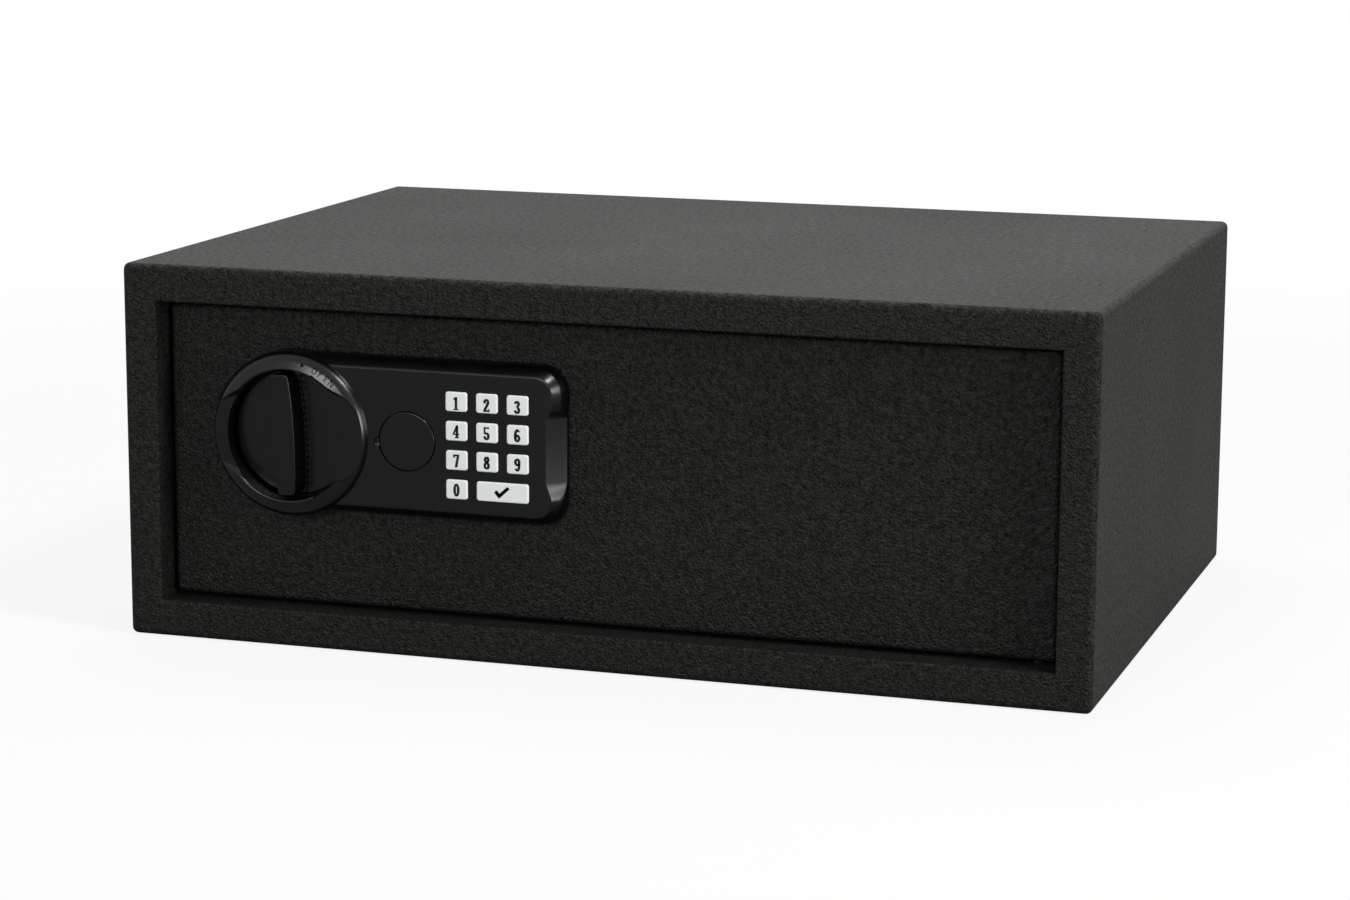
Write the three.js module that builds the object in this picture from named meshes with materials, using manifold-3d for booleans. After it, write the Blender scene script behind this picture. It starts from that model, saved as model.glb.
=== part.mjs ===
// Keypad safe: a folded steel case with a recessed door on its right-hand hinge pins, a turning knob
// that throws two bolts, a keypad, a key lock behind a cap, a locking solenoid and a battery box.
// Millimetres. X is to the right, Y runs from the front to the back, Z is up.
// The origin is the middle of the underside. A depth is measured from the front frame backwards.

import * as THREE from "three";
import { mergeVertices } from "three/addons/utils/BufferGeometryUtils.js";
import Module from "manifold-3d";

const wasm = await Module();
wasm.setup();

// Case
const caseWidth = 430;
const caseHeight = 165;
const caseDepth = 310;
const caseSheet = 2;
const caseBend = 3;
const frameSide = 15.5;
const frameTop = 16.2;
const frameBottom = 16.2;
const levelReturn = 24;
const uprightReturn = 19.5;
const returnRelief = 3;
const openingCorner = 1;
const tightestBend = 0.5;
const bendLand = 0.2;
const anchorHole = 10;
const anchorSpread = 230;
const backAnchorHeight = 82;
const matThickness = 3;
const matMargin = 1.5;
const matCorner = 3;
const matFrontGap = 3;

// Fits
const runningGap = 0.3;
const doorGap = 1.5;
const hingeSideGap = 2;
const crankSlotGap = 0.5;
const past = 1;

// Door
const doorRecess = 12;
const doorThickness = 24;
const doorSkin = 3;
const doorFlange = 2;
const doorBend = 2.5;
const doorCorner = 3;
const hingeInset = 8.5;
const hingeDepth = 18;
const hingePin = 5;
const hingePinGrip = 14;
const hingePinHead = 9;
const hingePinHeadHeight = 2.2;
const hingeBlockWidth = 13;
const hingeBlockHeight = 12;
const hingeBlockDepth = 9;
const hingeBlockChamfer = 3;
const hingeBlockClear = 1;
const pinChamfer = 1;
const coverSheet = 1.2;
const coverInset = 1;
const coverPost = 8;
const coverScrew = 3;
const coverScrewHead = 6.4;
const coverScrewHeadHeight = 1.8;
const coverScrewLength = 9;
const screwChamfer = 0.6;
const screwHoleSpare = 2;
const coverPostInset = 12;
const hingePostInset = 29;
const coverPostHeightInset = 10.3;
const stopWidth = 30;
const stopSheet = 2;
const stopOverlap = 5;
const stopFoot = 13;
const stopFromLeft = 80;

// Keypad housing
const panelLeft = 78;
const panelRight = 199.5;
const panelHeight = 66.5;
const panelMiddle = 94.2;
const panelThickness = 10.5;
const panelCorner = 11;
const panelBevel = 3.2;
const endBevel = 7.1;
const endScallop = 9.3;
const endScallopLength = 28.5;
const endScallopRun = 6;
const panelWall = 2;
const panelFloor = 2.5;
const ringRadius = 35.2;
const ringRise = 5;
const ringLip = 1.4;
const ringDraft = 1;
const ringBore = 28.4;
const ringScoop = 2.2;
const scoopFrom = 14;
const scoopInnerHalf = 23.4;
const scoopOuterHalf = 11.4;
const padCavityLeft = 147;
const padCavityInset = 8;
const padCavityEdge = 4.2;
const padCavityCorner = 3;
const cableHole = 10;
const cableHoleFromCavity = 26;
const housingStud = 4;
const housingStudLength = 5;
const housingStudInset = 4;
const housingStudSpread = 44;

// Keys
const keyWidth = 9.4;
const keyHeight = 8.1;
const keyCorner = 1.1;
const keyEdge = 0.5;
const keyRise = 1;
const keyTravel = 0.8;
const keyPitchX = 13.8;
const keyPitchZ = 12.6;
const keyFirstColumn = 154.8;
const keyFirstRow = 112.8;
const keyShelf = 0.8;
const keyShelfThickness = 1.1;
const enterWidth = 23.1;
const matPad = 0.7;
const matPadInset = 1;
const matPadCorner = 1;
const matSheet = 1;
const keyStroke = 0.2;
const boardThickness = 1.6;
const boardPost = 4;
const boardPostInset = 2.4;

// Knob and crank
const dialThickness = 2.7;
const gripLength = 51;
const gripWidth = 10.6;
const gripEndWidth = 7.8;
const gripCorner = 1.6;
const gripEdge = 0.6;
const gripOffset = -1.6;
const gripLean = -3;
const gripRibs = 17;
const gripRibPitch = 2.75;
const gripRibWidth = 1.4;
const gripRibRise = 1.1;
const gripRibRoot = 1.2;
const gripRibStart = 3;
const dialEdge = 1;
const spindle = 6;
const spindleSquare = 4.2;
const spindleSeat = 8;
const squareCorner = 0.2;
const spindleChamfer = 0.5;
const crankRadius = 10;
const crankDisc = 28;
const crankThickness = 3;
const crankPin = 5;
const crankPinLength = 6;
const crankPinRest = 45;
const crankGap = 0.5;
const crankScrew = 2.4;
const crankScrewHead = 6.5;
const crankScrewHeadHeight = 1.7;
const crankScrewLength = 6;
const crankScrewBite = 5.5;

// Key lock behind the cap
const lockFromLeft = 131.9;
const capDiameter = 25.4;
const capThickness = 2.5;
const capRise = 0.2;
const capSkirtWall = 0.8;
const capSkirtLength = 2.7;
const capSkirtInset = 0.9;
const capNotch = 3.4;
const capEdge = 0.5;
const lockBarrel = 18;
const lockFlange = 21;
const lockFlangeThickness = 1.5;
const lockFlangeEdge = 0.4;
const lockLength = 21;
const lockPlug = 12;
const lockTail = 5;
const lockTailHead = 8.2;
const lockTailHeadThickness = 1.2;
const lockNut = 26;
const lockNutThickness = 3;
const keyway = 1.5;
const keywayHeight = 7;
const keywayDepth = 9;
const camThickness = 2;
const camReach = 20;
const camWidth = 11;

// Bolt work
const boltDiameter = 14;
const boltNose = 1.5;
const boltRecess = 0.6;
const boltLength = 29.4;
const boltStub = 8;
const boltStubLength = 5;
const boltFromDoorEdge = 26.8;
const boltStubGap = 0.2;
const boltHoleDepth = 4;
const carriageSheet = 2;
const carriageWidth = 70;
const carriageMargin = 7.5;
const carriageFlangeDepth = 13.5;
const carriageCorner = 4;
const carriageWindowLeft = 16.1;
const carriageWindowWidth = 32.2;
const carriageWindowHeight = 22;
const carriageWindowDrop = 13;
const carriageWindowCorner = 5;
const guideStud = 9;
const guideScrew = 4;
const guideScrewHead = 8;
const guideScrewHeadHeight = 2;
const guideScrewBite = 3;
const guideHoleDepth = 4;
const guideFromLeft = 63;
const guideSpacing = 32;
const guideInset = 8;
const toothWidth = 5;
const armHeight = 6;
const armCorner = 2;

// Locking solenoid
const plungerDiameter = 6;
const plungerTravel = 5;
const plungerClear = 1;
const plungerTip = 61;
const plungerChamfer = 0.8;
const plungerCollar = 10;
const plungerCollarThickness = 1.6;
const plungerCollarDrop = 6;
const plungerLength = 33;
const plungerFromLeft = 131;
const coilDiameter = 13;
const coilHeight = 20;
const coilBase = 23.3;
const bracketSheet = 2;
const bracketWidth = 16;
const bracketLip = 1;
const bobbinFlange = 1.5;
const bobbinStep = 1;
const springWire = 0.8;
const springTurns = 4;

// Batteries, control board and reset button
const cellDiameter = 14.5;
const cellLength = 49;
const cellButton = 5.5;
const cellButtonHeight = 1.4;
const cellPitch = 15.4;
const cellCount = 4;
const cellEdge = 0.5;
const cellEndRoom = 4;
const cellSideRoom = 1;
const boxWall = 1.5;
const boxFloor = 1.5;
const boxFromLeft = 316;
const boxMiddle = 88;
const boxCorner = 2;
const boxInnerCorner = 1;
const contactStripThickness = 0.5;
const contactStripWidth = 10;
const contactStripMargin = 1.5;
const contactTongueWidth = 8;
const contactTongueHeight = 5;
const batteryCoverThickness = 2.6;
const batteryCoverProud = 0.8;
const thumbNotch = 14;
const thumbNotchDepth = 1.4;
const thumbNotchHeight = 4;
const thumbNotchInset = 6;
const controlWidth = 60;
const controlHeight = 42;
const controlFromLeft = 240;
const controlDepth = 27;
const controlPost = 6;
const controlPeg = 2.4;
const controlPostInset = 5;
const controlPegRise = 1;
const controlCorner = 2;
const resetDiameter = 8;
const resetFlange = 11;
const resetFlangeThickness = 1.5;
const resetProud = 1.5;
const resetTravel = 1;
const resetChamfer = 0.6;

// Places that follow from the sizes
const left = -caseWidth / 2;
const front = -caseDepth / 2;
const at = (depth) => front + depth;
const openingWidth = caseWidth - 2 * frameSide;
const openingHeight = caseHeight - frameTop - frameBottom;
const openingMiddle = frameBottom + openingHeight / 2;
const doorLeft = left + frameSide + doorGap;
const doorRight = -left - frameSide - hingeSideGap;
const doorBottom = frameBottom + doorGap;
const doorTop = caseHeight - frameTop - doorGap;
const doorMiddleX = (doorLeft + doorRight) / 2;
const doorMiddleZ = (doorBottom + doorTop) / 2;
const doorWidth = doorRight - doorLeft;
const doorHeight = doorTop - doorBottom;
const skinBack = doorRecess + doorSkin;
const doorBack = doorRecess + doorThickness;
const coverBack = doorBack + coverSheet;
const hingeX = doorRight - hingeInset;
const panelFace = doorRecess - panelThickness;
const ringFace = panelFace - ringRise;
const ringFloor = doorRecess - panelFloor;
const knobX = left + panelLeft;
const knobZ = panelMiddle;
const lockX = left + lockFromLeft;
const panelEnd = left + panelRight;
const carriageFront = skinBack + crankGap + crankThickness + crankScrewHeadHeight + runningGap;
const carriageBack = carriageFront + carriageSheet;
const boltDepth = carriageBack + runningGap + boltStub / 2 + boltStubGap;
const boltTravel = 2 * crankRadius * Math.sin(THREE.MathUtils.degToRad(crankPinRest));
const boltHeights = [doorBottom + boltFromDoorEdge, doorTop - boltFromDoorEdge];

// Finishes
const powderCoat = { color: 0x2c2c2b, roughness: 0.75, metalness: 0.1 };
const blackPlastic = { color: 0x1c1c1e, roughness: 0.42, metalness: 0 };
const keyPlastic = { color: 0xd6d9d9, roughness: 0.5, metalness: 0 };
const zincSteel = { color: 0xb4b6b8, roughness: 0.35, metalness: 0.9 };
const brightSteel = { color: 0xd2d2d0, roughness: 0.25, metalness: 1 };
const brass = { color: 0xb08d4c, roughness: 0.35, metalness: 1 };
const rubber = { color: 0x3a3a3c, roughness: 0.9, metalness: 0 };
const circuitBoard = { color: 0x1d5a38, roughness: 0.5, metalness: 0 };
const felt = { color: 0x35363a, roughness: 1, metalness: 0 };
const copperWire = { color: 0x8a4a26, roughness: 0.4, metalness: 0.6 };
const cellSleeve = { color: 0x30383f, roughness: 0.35, metalness: 0.3 };
const resetPlastic = { color: 0xa32a22, roughness: 0.45, metalness: 0 };

// Outlines
function roundedRect(middleX, middleY, width, height, corner) {
  const x = middleX - width / 2;
  const y = middleY - height / 2;
  const straight = 0.01;
  const r = Math.min(corner, width / 2 - straight, height / 2 - straight);
  const shape = new THREE.Shape();
  shape.moveTo(x + r, y);
  shape.lineTo(x + width - r, y);
  shape.absarc(x + width - r, y + r, r, -Math.PI / 2, 0, false);
  shape.lineTo(x + width, y + height - r);
  shape.absarc(x + width - r, y + height - r, r, 0, Math.PI / 2, false);
  shape.lineTo(x + r, y + height);
  shape.absarc(x + r, y + height - r, r, Math.PI / 2, Math.PI, false);
  shape.lineTo(x, y + r);
  shape.absarc(x + r, y + r, r, Math.PI, 1.5 * Math.PI, false);
  return shape;
}

function rect(x0, x1, y0, y1) {
  return polygon([[x0, y0], [x1, y0], [x1, y1], [x0, y1]]);
}

function polygon(corners) {
  return new THREE.Shape(corners.map(([x, y]) => new THREE.Vector2(x, y)));
}

function circle(middleX, middleY, radius) {
  return new THREE.Shape().absarc(middleX, middleY, radius, 0, 2 * Math.PI, false);
}

function slot(x0, x1, middleY, width) {
  return roundedRect((x0 + x1) / 2, middleY, x1 - x0, width, width / 2);
}

// Solids
function signedVolume(points, corners) {
  const [a, b, c] = [new THREE.Vector3(), new THREE.Vector3(), new THREE.Vector3()];
  let six = 0;
  for (let i = 0; i < corners.length; i += 3) {
    a.fromArray(points, 3 * corners[i]);
    b.fromArray(points, 3 * corners[i + 1]);
    c.fromArray(points, 3 * corners[i + 2]);
    six += a.dot(b.cross(c));
  }
  return six / 6;
}

function solid(geometry) {
  const bare = geometry.clone();
  bare.deleteAttribute("normal");
  bare.deleteAttribute("uv");
  const merged = mergeVertices(bare);
  const points = merged.attributes.position.array;
  const corners = [];
  for (let i = 0; i < merged.index.count; i += 3) {
    const [a, b, c] = [0, 1, 2].map((k) => merged.index.getX(i + k));
    if (a !== b && b !== c && c !== a) corners.push(a, b, c);
  }
  if (signedVolume(points, corners) < 0) corners.reverse();
  return new wasm.Manifold(new wasm.Mesh({
    numProp: 3,
    vertProperties: new Float32Array(points),
    triVerts: new Uint32Array(corners),
  }));
}

// An outline in X and Z, run from one depth to another
function alongY(shape, depth0, depth1, curveSegments = 2) {
  const geometry = new THREE.ExtrudeGeometry(shape, {
    depth: depth1 - depth0,
    bevelEnabled: false,
    curveSegments,
  });
  return solid(geometry.rotateX(Math.PI / 2).translate(0, at(depth1), 0));
}

// The same with its front edge rounded over
function pillowed(shape, depth0, depth1, edge, curveSegments = 2, edgeSegments = 2) {
  const behind = 2 * edge;
  const geometry = new THREE.ExtrudeGeometry(shape, {
    depth: depth1 - depth0,
    bevelEnabled: true,
    bevelThickness: edge,
    bevelSize: edge,
    bevelOffset: -edge,
    bevelSegments: edgeSegments,
    curveSegments,
  });
  const whole = solid(geometry.rotateX(Math.PI / 2).translate(0, at(depth1 + edge), 0));
  const beyond = caseWidth;
  return whole.subtract(alongY(rect(-beyond, beyond, -beyond, beyond), depth1, depth1 + behind));
}

// An outline in X and Y, run upwards
function alongZ(shape, z0, z1, curveSegments = 2) {
  const geometry = new THREE.ExtrudeGeometry(shape, { depth: z1 - z0, bevelEnabled: false, curveSegments });
  return solid(geometry.translate(0, 0, z0));
}

// An outline in Y and Z, run to the right
function alongX(shape, x0, x1, curveSegments = 2) {
  const geometry = new THREE.ExtrudeGeometry(shape, { depth: x1 - x0, bevelEnabled: false, curveSegments });
  const turn = new THREE.Matrix4().makeBasis(
    new THREE.Vector3(0, 1, 0),
    new THREE.Vector3(0, 0, 1),
    new THREE.Vector3(1, 0, 0),
  );
  return solid(geometry.applyMatrix4(turn).translate(x0, 0, 0));
}

// Profiles of radius and place along the axis, turned about it
function lathe(profile, segments) {
  return new THREE.LatheGeometry(profile.map(([r, y]) => new THREE.Vector2(r, y)), segments);
}

function turnedY(profile, x, z, segments = 24) {
  return solid(lathe(profile, segments).translate(x, front, z));
}

function turnedZ(profile, x, y, segments = 16) {
  return solid(lathe(profile, segments).rotateX(Math.PI / 2).translate(x, y, 0));
}

function turnedX(profile, y, z, segments = 20) {
  return solid(lathe(profile, segments).rotateZ(-Math.PI / 2).translate(0, y, z));
}

function shaft(radius, start, end, chamfer = 0) {
  if (chamfer === 0) return [[0, start], [radius, start], [radius, end], [0, end]];
  return [[0, start], [radius - chamfer, start], [radius, start + chamfer], [radius, end], [0, end]];
}

function joined(first, ...others) {
  return others.reduce((sum, next) => sum.add(next), first);
}

function without(first, ...others) {
  return others.reduce((rest, next) => rest.subtract(next), first);
}

// The finished safe collects its pieces here
const safe = new THREE.Group();

function piece(name, body, finish) {
  const { vertProperties, triVerts } = body.getMesh();
  const geometry = new THREE.BufferGeometry();
  geometry.setAttribute("position", new THREE.BufferAttribute(new Float32Array(vertProperties), 3));
  geometry.setIndex(new THREE.BufferAttribute(new Uint32Array(triVerts), 1));
  geometry.computeVertexNormals();
  const mesh = new THREE.Mesh(geometry, new THREE.MeshStandardMaterial(finish));
  mesh.name = name;
  safe.add(mesh);
}

// Case: a folded wrapper, closed by a front frame with turned-in returns and by a back panel
function caseOutline(inset) {
  const corner = Math.max(caseBend - inset, tightestBend);
  return roundedRect(0, caseHeight / 2, caseWidth - 2 * inset, caseHeight - 2 * inset, corner);
}

function openingOutline(outset) {
  const width = openingWidth + 2 * outset;
  const height = openingHeight + 2 * outset;
  return roundedRect(0, openingMiddle, width, height, openingCorner + outset);
}

function anchorHoles(spread, hole) {
  return [-spread / 2, spread / 2].map(hole);
}

function bodyShell() {
  const wrapper = alongY(caseOutline(0), caseBend, caseDepth - caseBend);
  const inside = alongY(caseOutline(caseSheet), 0, caseDepth);
  const holes = anchorHoles(anchorSpread, (x) => {
    return alongZ(circle(x, 0, anchorHole / 2), -past, caseSheet + past, 8);
  });
  return without(wrapper, inside, ...holes);
}

function frontFrame() {
  const rim = pillowed(caseOutline(0), 0, caseBend, caseBend - bendLand);
  const behindPlate = alongY(caseOutline(caseSheet), caseSheet, caseBend + past);
  const returns = alongY(openingOutline(caseSheet), caseSheet / 2, levelReturn);
  const opening = alongY(openingOutline(0), -1, levelReturn + past);
  const relief = openingWidth / 2 - returnRelief;
  const reliefs = [[left, -relief], [relief, -left]].map(([x0, x1]) => {
    return alongY(rect(x0, x1, 0, caseHeight), uprightReturn, levelReturn + past);
  });
  const pin = circle(hingeX, at(hingeDepth), hingePin / 2 + runningGap);
  const pinHole = alongZ(pin, past, caseHeight - past, 8);
  return without(joined(without(rim, behindPlate), returns), opening, ...reliefs, pinHole);
}

function backPanel() {
  const rim = pillowed(caseOutline(0), 0, caseBend, caseBend - bendLand);
  const inside = alongY(caseOutline(caseSheet), caseSheet, caseBend + past);
  const holes = anchorHoles(anchorSpread, (x) => {
    return alongY(circle(x, backAnchorHeight, anchorHole / 2), -past, caseSheet + past, 8);
  });
  return without(rim, inside, ...holes).mirror([0, 1, 0]);
}

function floorMat() {
  const frontEdge = coverBack + stopSheet + runningGap + matFrontGap;
  const backEdge = caseDepth - caseSheet - matMargin;
  const width = caseWidth - 2 * caseSheet - 2 * matMargin;
  const sheet = roundedRect(0, at((frontEdge + backEdge) / 2), width, backEdge - frontEdge, matCorner);
  return alongZ(sheet, caseSheet, caseSheet + matThickness, 2);
}

// An angle on the case wall that the shut door comes to rest against
function doorStop(wall, edge) {
  const inward = Math.sign(edge - wall);
  const face = at(coverBack + runningGap);
  const back = face + stopSheet;
  const tip = edge + inward * stopOverlap;
  const foot = wall + inward * stopSheet;
  const angle = polygon([[back, wall], [back, tip], [face, tip], [face, foot], [back - stopFoot, foot],
    [back - stopFoot, wall]]);
  return alongX(angle, left + stopFromLeft, left + stopFromLeft + stopWidth);
}

// A headed pin that hangs in the frame's return and enters the door
function hingePinSolid(inward, seat) {
  const tip = seat + inward * (caseSheet + doorGap + hingePinGrip);
  const head = seat - inward * hingePinHeadHeight;
  const profile = [[0, head], [hingePinHead / 2, head], [hingePinHead / 2, seat], [hingePin / 2, seat],
    [hingePin / 2, tip - inward * pinChamfer], [hingePin / 2 - pinChamfer, tip], [0, tip]];
  return turnedZ(profile, hingeX, at(hingeDepth));
}

piece("body_shell", bodyShell(), powderCoat);
piece("front_frame", frontFrame(), powderCoat);
piece("back_panel", backPanel(), powderCoat);
piece("floor_mat", floorMat(), felt);
piece("upper_door_stop", doorStop(caseHeight - caseSheet, doorTop), powderCoat);
piece("lower_door_stop", doorStop(caseSheet, doorBottom), powderCoat);
piece("upper_hinge_pin", hingePinSolid(-1, caseHeight - frameTop + caseSheet), zincSteel);
piece("lower_hinge_pin", hingePinSolid(1, frameBottom - caseSheet), zincSteel);

// Places of the studs, posts and screws on the door
const carriageBottom = boltHeights[0] - carriageMargin;
const carriageTop = boltHeights[1] + carriageMargin;
const guideHeights = [carriageBottom + guideInset, carriageTop - guideInset];
const guidePlaces = [0, guideSpacing].flatMap((across) => {
  return guideHeights.map((z) => [left + guideFromLeft + across, z]);
});
const postPlaces = [doorLeft + coverPostInset, doorRight - hingePostInset].flatMap((x) => {
  return [doorBottom + coverPostHeightInset, doorTop - coverPostHeightInset].map((z) => [x, z]);
});
const controlX = left + controlFromLeft;
const controlPlaces = [-1, 1].map((side) => {
  return [controlX + side * (controlWidth / 2 - controlPostInset), panelMiddle];
});
const housingStudPlaces = [-1, 1].map((side) => {
  return [panelEnd - housingStudInset, panelMiddle + (side * housingStudSpread) / 2];
});

// Door: a folded pan with welded studs and posts, hung on two blocks and closed by a back cover
function doorOutline(inset) {
  const corner = Math.max(doorCorner - inset, tightestBend);
  return roundedRect(doorMiddleX, doorMiddleZ, doorWidth - 2 * inset, doorHeight - 2 * inset, corner);
}

function threadedPost([x, z], diameter, end, screw, length) {
  const post = alongY(circle(x, z, diameter / 2), skinBack - past, end, 6);
  const hole = alongY(circle(x, z, screw / 2 + runningGap), end - length, end + past, 4);
  return post.subtract(hole);
}

function doorPanel() {
  const pan = pillowed(doorOutline(0), doorRecess, doorBack, doorBend);
  const inside = alongY(doorOutline(doorFlange), skinBack, doorBack + past);
  const boltHoles = boltHeights.map((z) => {
    const hole = circle(at(boltDepth), z, boltDiameter / 2 + runningGap);
    return alongX(hole, doorLeft - past, doorLeft + boltHoleDepth, 10);
  });
  const pin = circle(hingeX, at(hingeDepth), hingePin / 2 + runningGap);
  const pinHole = alongZ(pin, doorBottom - past, doorTop + past, 8);
  const frontToBack = (x, z, radius) => alongY(circle(x, z, radius), doorRecess - past, skinBack + past, 8);
  const skinHoles = [
    frontToBack(knobX, knobZ, spindle / 2 + runningGap),
    frontToBack(lockX, knobZ, lockBarrel / 2 + runningGap),
    frontToBack(left + padCavityLeft + cableHoleFromCavity, knobZ, cableHole / 2),
    ...housingStudPlaces.map(([x, z]) => frontToBack(x, z, housingStud / 2 + runningGap)),
  ];
  const guides = guidePlaces.map((place) => {
    return threadedPost(place, guideStud, carriageFront - runningGap, guideScrew, guideHoleDepth);
  });
  const posts = postPlaces.map((place) => {
    return threadedPost(place, coverPost, doorBack, coverScrew, coverScrewLength);
  });
  const controlPosts = controlPlaces.map(([x, z]) => {
    const post = alongY(circle(x, z, controlPost / 2), skinBack - past, controlDepth, 6);
    const pegEnd = controlDepth + boardThickness + controlPegRise;
    return post.add(alongY(circle(x, z, controlPeg / 2), controlDepth - past, pegEnd, 4));
  });
  const drilled = without(pan, inside, ...boltHoles, pinHole, ...skinHoles);
  return joined(drilled, ...guides, ...posts, ...controlPosts);
}

function hingeBlock(inward, flangeFace) {
  const x1 = doorRight - Math.max(doorCorner, doorFlange + hingeBlockClear);
  const x0 = x1 - hingeBlockWidth;
  const y0 = at(skinBack);
  const y1 = y0 + hingeBlockDepth;
  const outline = polygon([[x0, y0], [x1, y0], [x1, y1], [x0 + hingeBlockChamfer, y1],
    [x0, y1 - hingeBlockChamfer]]);
  const [low, high] = [flangeFace, flangeFace + inward * hingeBlockHeight].sort((a, b) => a - b);
  const bore = circle(hingeX, at(hingeDepth), hingePin / 2 + runningGap);
  return alongZ(outline, low, high).subtract(alongZ(bore, low - past, high + past, 8));
}

function screw([x, z], seat, diameter, head, headHeight, length) {
  const top = seat + headHeight;
  const profile = [[0, top], [head / 2 - screwChamfer, top], [head / 2, top - screwChamfer], [head / 2, seat],
    [diameter / 2, seat], [diameter / 2, seat - length], [0, seat - length]];
  return turnedY(profile, x, z, 10);
}

const boxX = left + boxFromLeft;
const boxInnerWidth = cellLength + cellButtonHeight + cellEndRoom;
const boxInnerHeight = (cellCount - 1) * cellPitch + cellDiameter + cellSideRoom;
const boxWidth = boxInnerWidth + 2 * boxWall;
const boxHeight = boxInnerHeight + 2 * boxWall;
const batteryCoverFront = coverBack + batteryCoverProud - batteryCoverThickness;

function doorBackCover() {
  const sheet = alongY(doorOutline(coverInset), doorBack, coverBack);
  const screwHoles = postPlaces.map(([x, z]) => {
    return alongY(circle(x, z, coverScrew / 2 + runningGap), doorBack - past, coverBack + past, 6);
  });
  const gap = 2 * runningGap;
  const window = roundedRect(boxX, boxMiddle, boxWidth + gap, boxHeight + gap, boxCorner);
  const resetHole = circle(controlX, panelMiddle, resetDiameter / 2 + runningGap);
  return without(
    sheet,
    ...screwHoles,
    alongY(window, doorBack - past, coverBack + past),
    alongY(resetHole, doorBack - past, coverBack + past, 8),
  );
}

piece("door_panel", doorPanel(), powderCoat);
piece("upper_hinge_block", hingeBlock(-1, doorTop - doorFlange), zincSteel);
piece("lower_hinge_block", hingeBlock(1, doorBottom + doorFlange), zincSteel);
piece("door_back_cover", doorBackCover(), powderCoat);
postPlaces.forEach((place, i) => {
  const length = coverSheet + coverScrewLength - screwHoleSpare;
  const body = screw(place, coverBack, coverScrew, coverScrewHead, coverScrewHeadHeight, length);
  piece(`cover_screw_${i + 1}`, body, zincSteel);
});

// Keypad housing: one black moulding with a ring boss round the knob, a seat for the lock's cap,
// windows for the keys and a pocket behind them for the key mat and its board
const cavityLeft = left + padCavityLeft;
const cavityRight = panelEnd - padCavityInset;
const cavityX = (cavityLeft + cavityRight) / 2;
const cavityWidth = cavityRight - cavityLeft;
const cavityHeight = panelHeight - 2 * padCavityEdge;
const wallBack = panelFace + panelWall;
const shelfFront = wallBack + runningGap;
const shelfBack = shelfFront + keyShelfThickness;
const padFront = shelfBack + keyTravel + keyStroke;
const boardFront = padFront + matPad + matSheet;
const boardBack = boardFront + boardThickness;
const capFront = panelFace - capRise;
const capBack = capFront + capThickness;
const capSkirt = capDiameter / 2 - capSkirtInset;

const keyRow = (row) => keyFirstRow - row * keyPitchZ;
const keyColumn = (column) => left + keyFirstColumn + column * keyPitchX;
const digitKeys = [1, 2, 3, 4, 5, 6, 7, 8, 9].map((digit) => {
  const row = Math.floor((digit - 1) / 3);
  return { name: `key_${digit}`, x: keyColumn((digit - 1) % 3), z: keyRow(row), width: keyWidth };
});
const enterX = keyColumn(2) + keyWidth / 2 - enterWidth / 2;
const keys = [
  ...digitKeys,
  { name: "key_0", x: keyColumn(0), z: keyRow(3), width: keyWidth },
  { name: "key_enter", x: enterX, z: keyRow(3), width: enterWidth },
];

function panelOutline() {
  const half = panelHeight / 2;
  const top = knobZ + half;
  const bottom = knobZ - half;
  const meet = Math.asin(half / ringRadius);
  const shape = new THREE.Shape();
  shape.moveTo(knobX + ringRadius * Math.cos(meet), bottom);
  shape.lineTo(panelEnd - panelCorner, bottom);
  shape.absarc(panelEnd - panelCorner, bottom + panelCorner, panelCorner, -Math.PI / 2, 0, false);
  shape.lineTo(panelEnd, top - panelCorner);
  shape.absarc(panelEnd - panelCorner, top - panelCorner, panelCorner, 0, Math.PI / 2, false);
  shape.lineTo(knobX + ringRadius * Math.cos(meet), top);
  shape.absarc(knobX, knobZ, ringRadius, meet, 2 * Math.PI - meet, false);
  return shape;
}

function ringBoss() {
  const inner = ringBore - past;
  const rim = ringRadius - ringDraft;
  const profile = [[inner, doorRecess], [inner, ringFace], [rim - ringLip, ringFace]];
  for (let step = 1; step <= 3; step += 1) {
    const turn = (step / 3) * (Math.PI / 2);
    profile.push([
      rim - ringLip + ringLip * Math.sin(turn),
      ringFace + ringLip - ringLip * Math.cos(turn),
    ]);
  }
  profile.push([ringRadius, panelFace], [ringRadius, doorRecess], [inner, doorRecess]);
  return turnedY(profile, knobX, knobZ, 36);
}

// The ring is full height only above and below the knob, and is scooped away at its sides for the fingers
function ringScoops() {
  const reach = ringRadius + past;
  return [-1, 1].map((side) => {
    const [x0, x1] = [knobX + side * scoopFrom, knobX + side * reach];
    const outline = polygon([[x0, knobZ - scoopInnerHalf], [x1, knobZ - scoopOuterHalf],
      [x1, knobZ + scoopOuterHalf], [x0, knobZ + scoopInnerHalf]]);
    return alongY(outline, ringFace - past, ringFace + ringScoop);
  });
}

// The right-hand end slopes off in a wide bevel, with a broader scallop along its middle
function endSlopes() {
  const wedge = (width) => {
    const y = at(panelFace);
    const x = panelEnd - width;
    return alongZ(
      polygon([[x, y], [x, y - past], [panelEnd + past, y - past], [panelEnd + past, y + panelBevel]]),
      knobZ - panelHeight,
      knobZ + panelHeight,
    );
  };
  const inner = endScallopLength / 2;
  const outer = inner + endScallopRun;
  const [y0, y1] = [at(panelFace - past), at(panelFace + panelBevel)];
  const scallop = polygon([[y0, knobZ - outer], [y1, knobZ - inner], [y1, knobZ + inner],
    [y0, knobZ + outer]]);
  return [wedge(endBevel), wedge(endScallop).intersect(alongX(scallop, lockX, panelEnd + past))];
}

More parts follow.
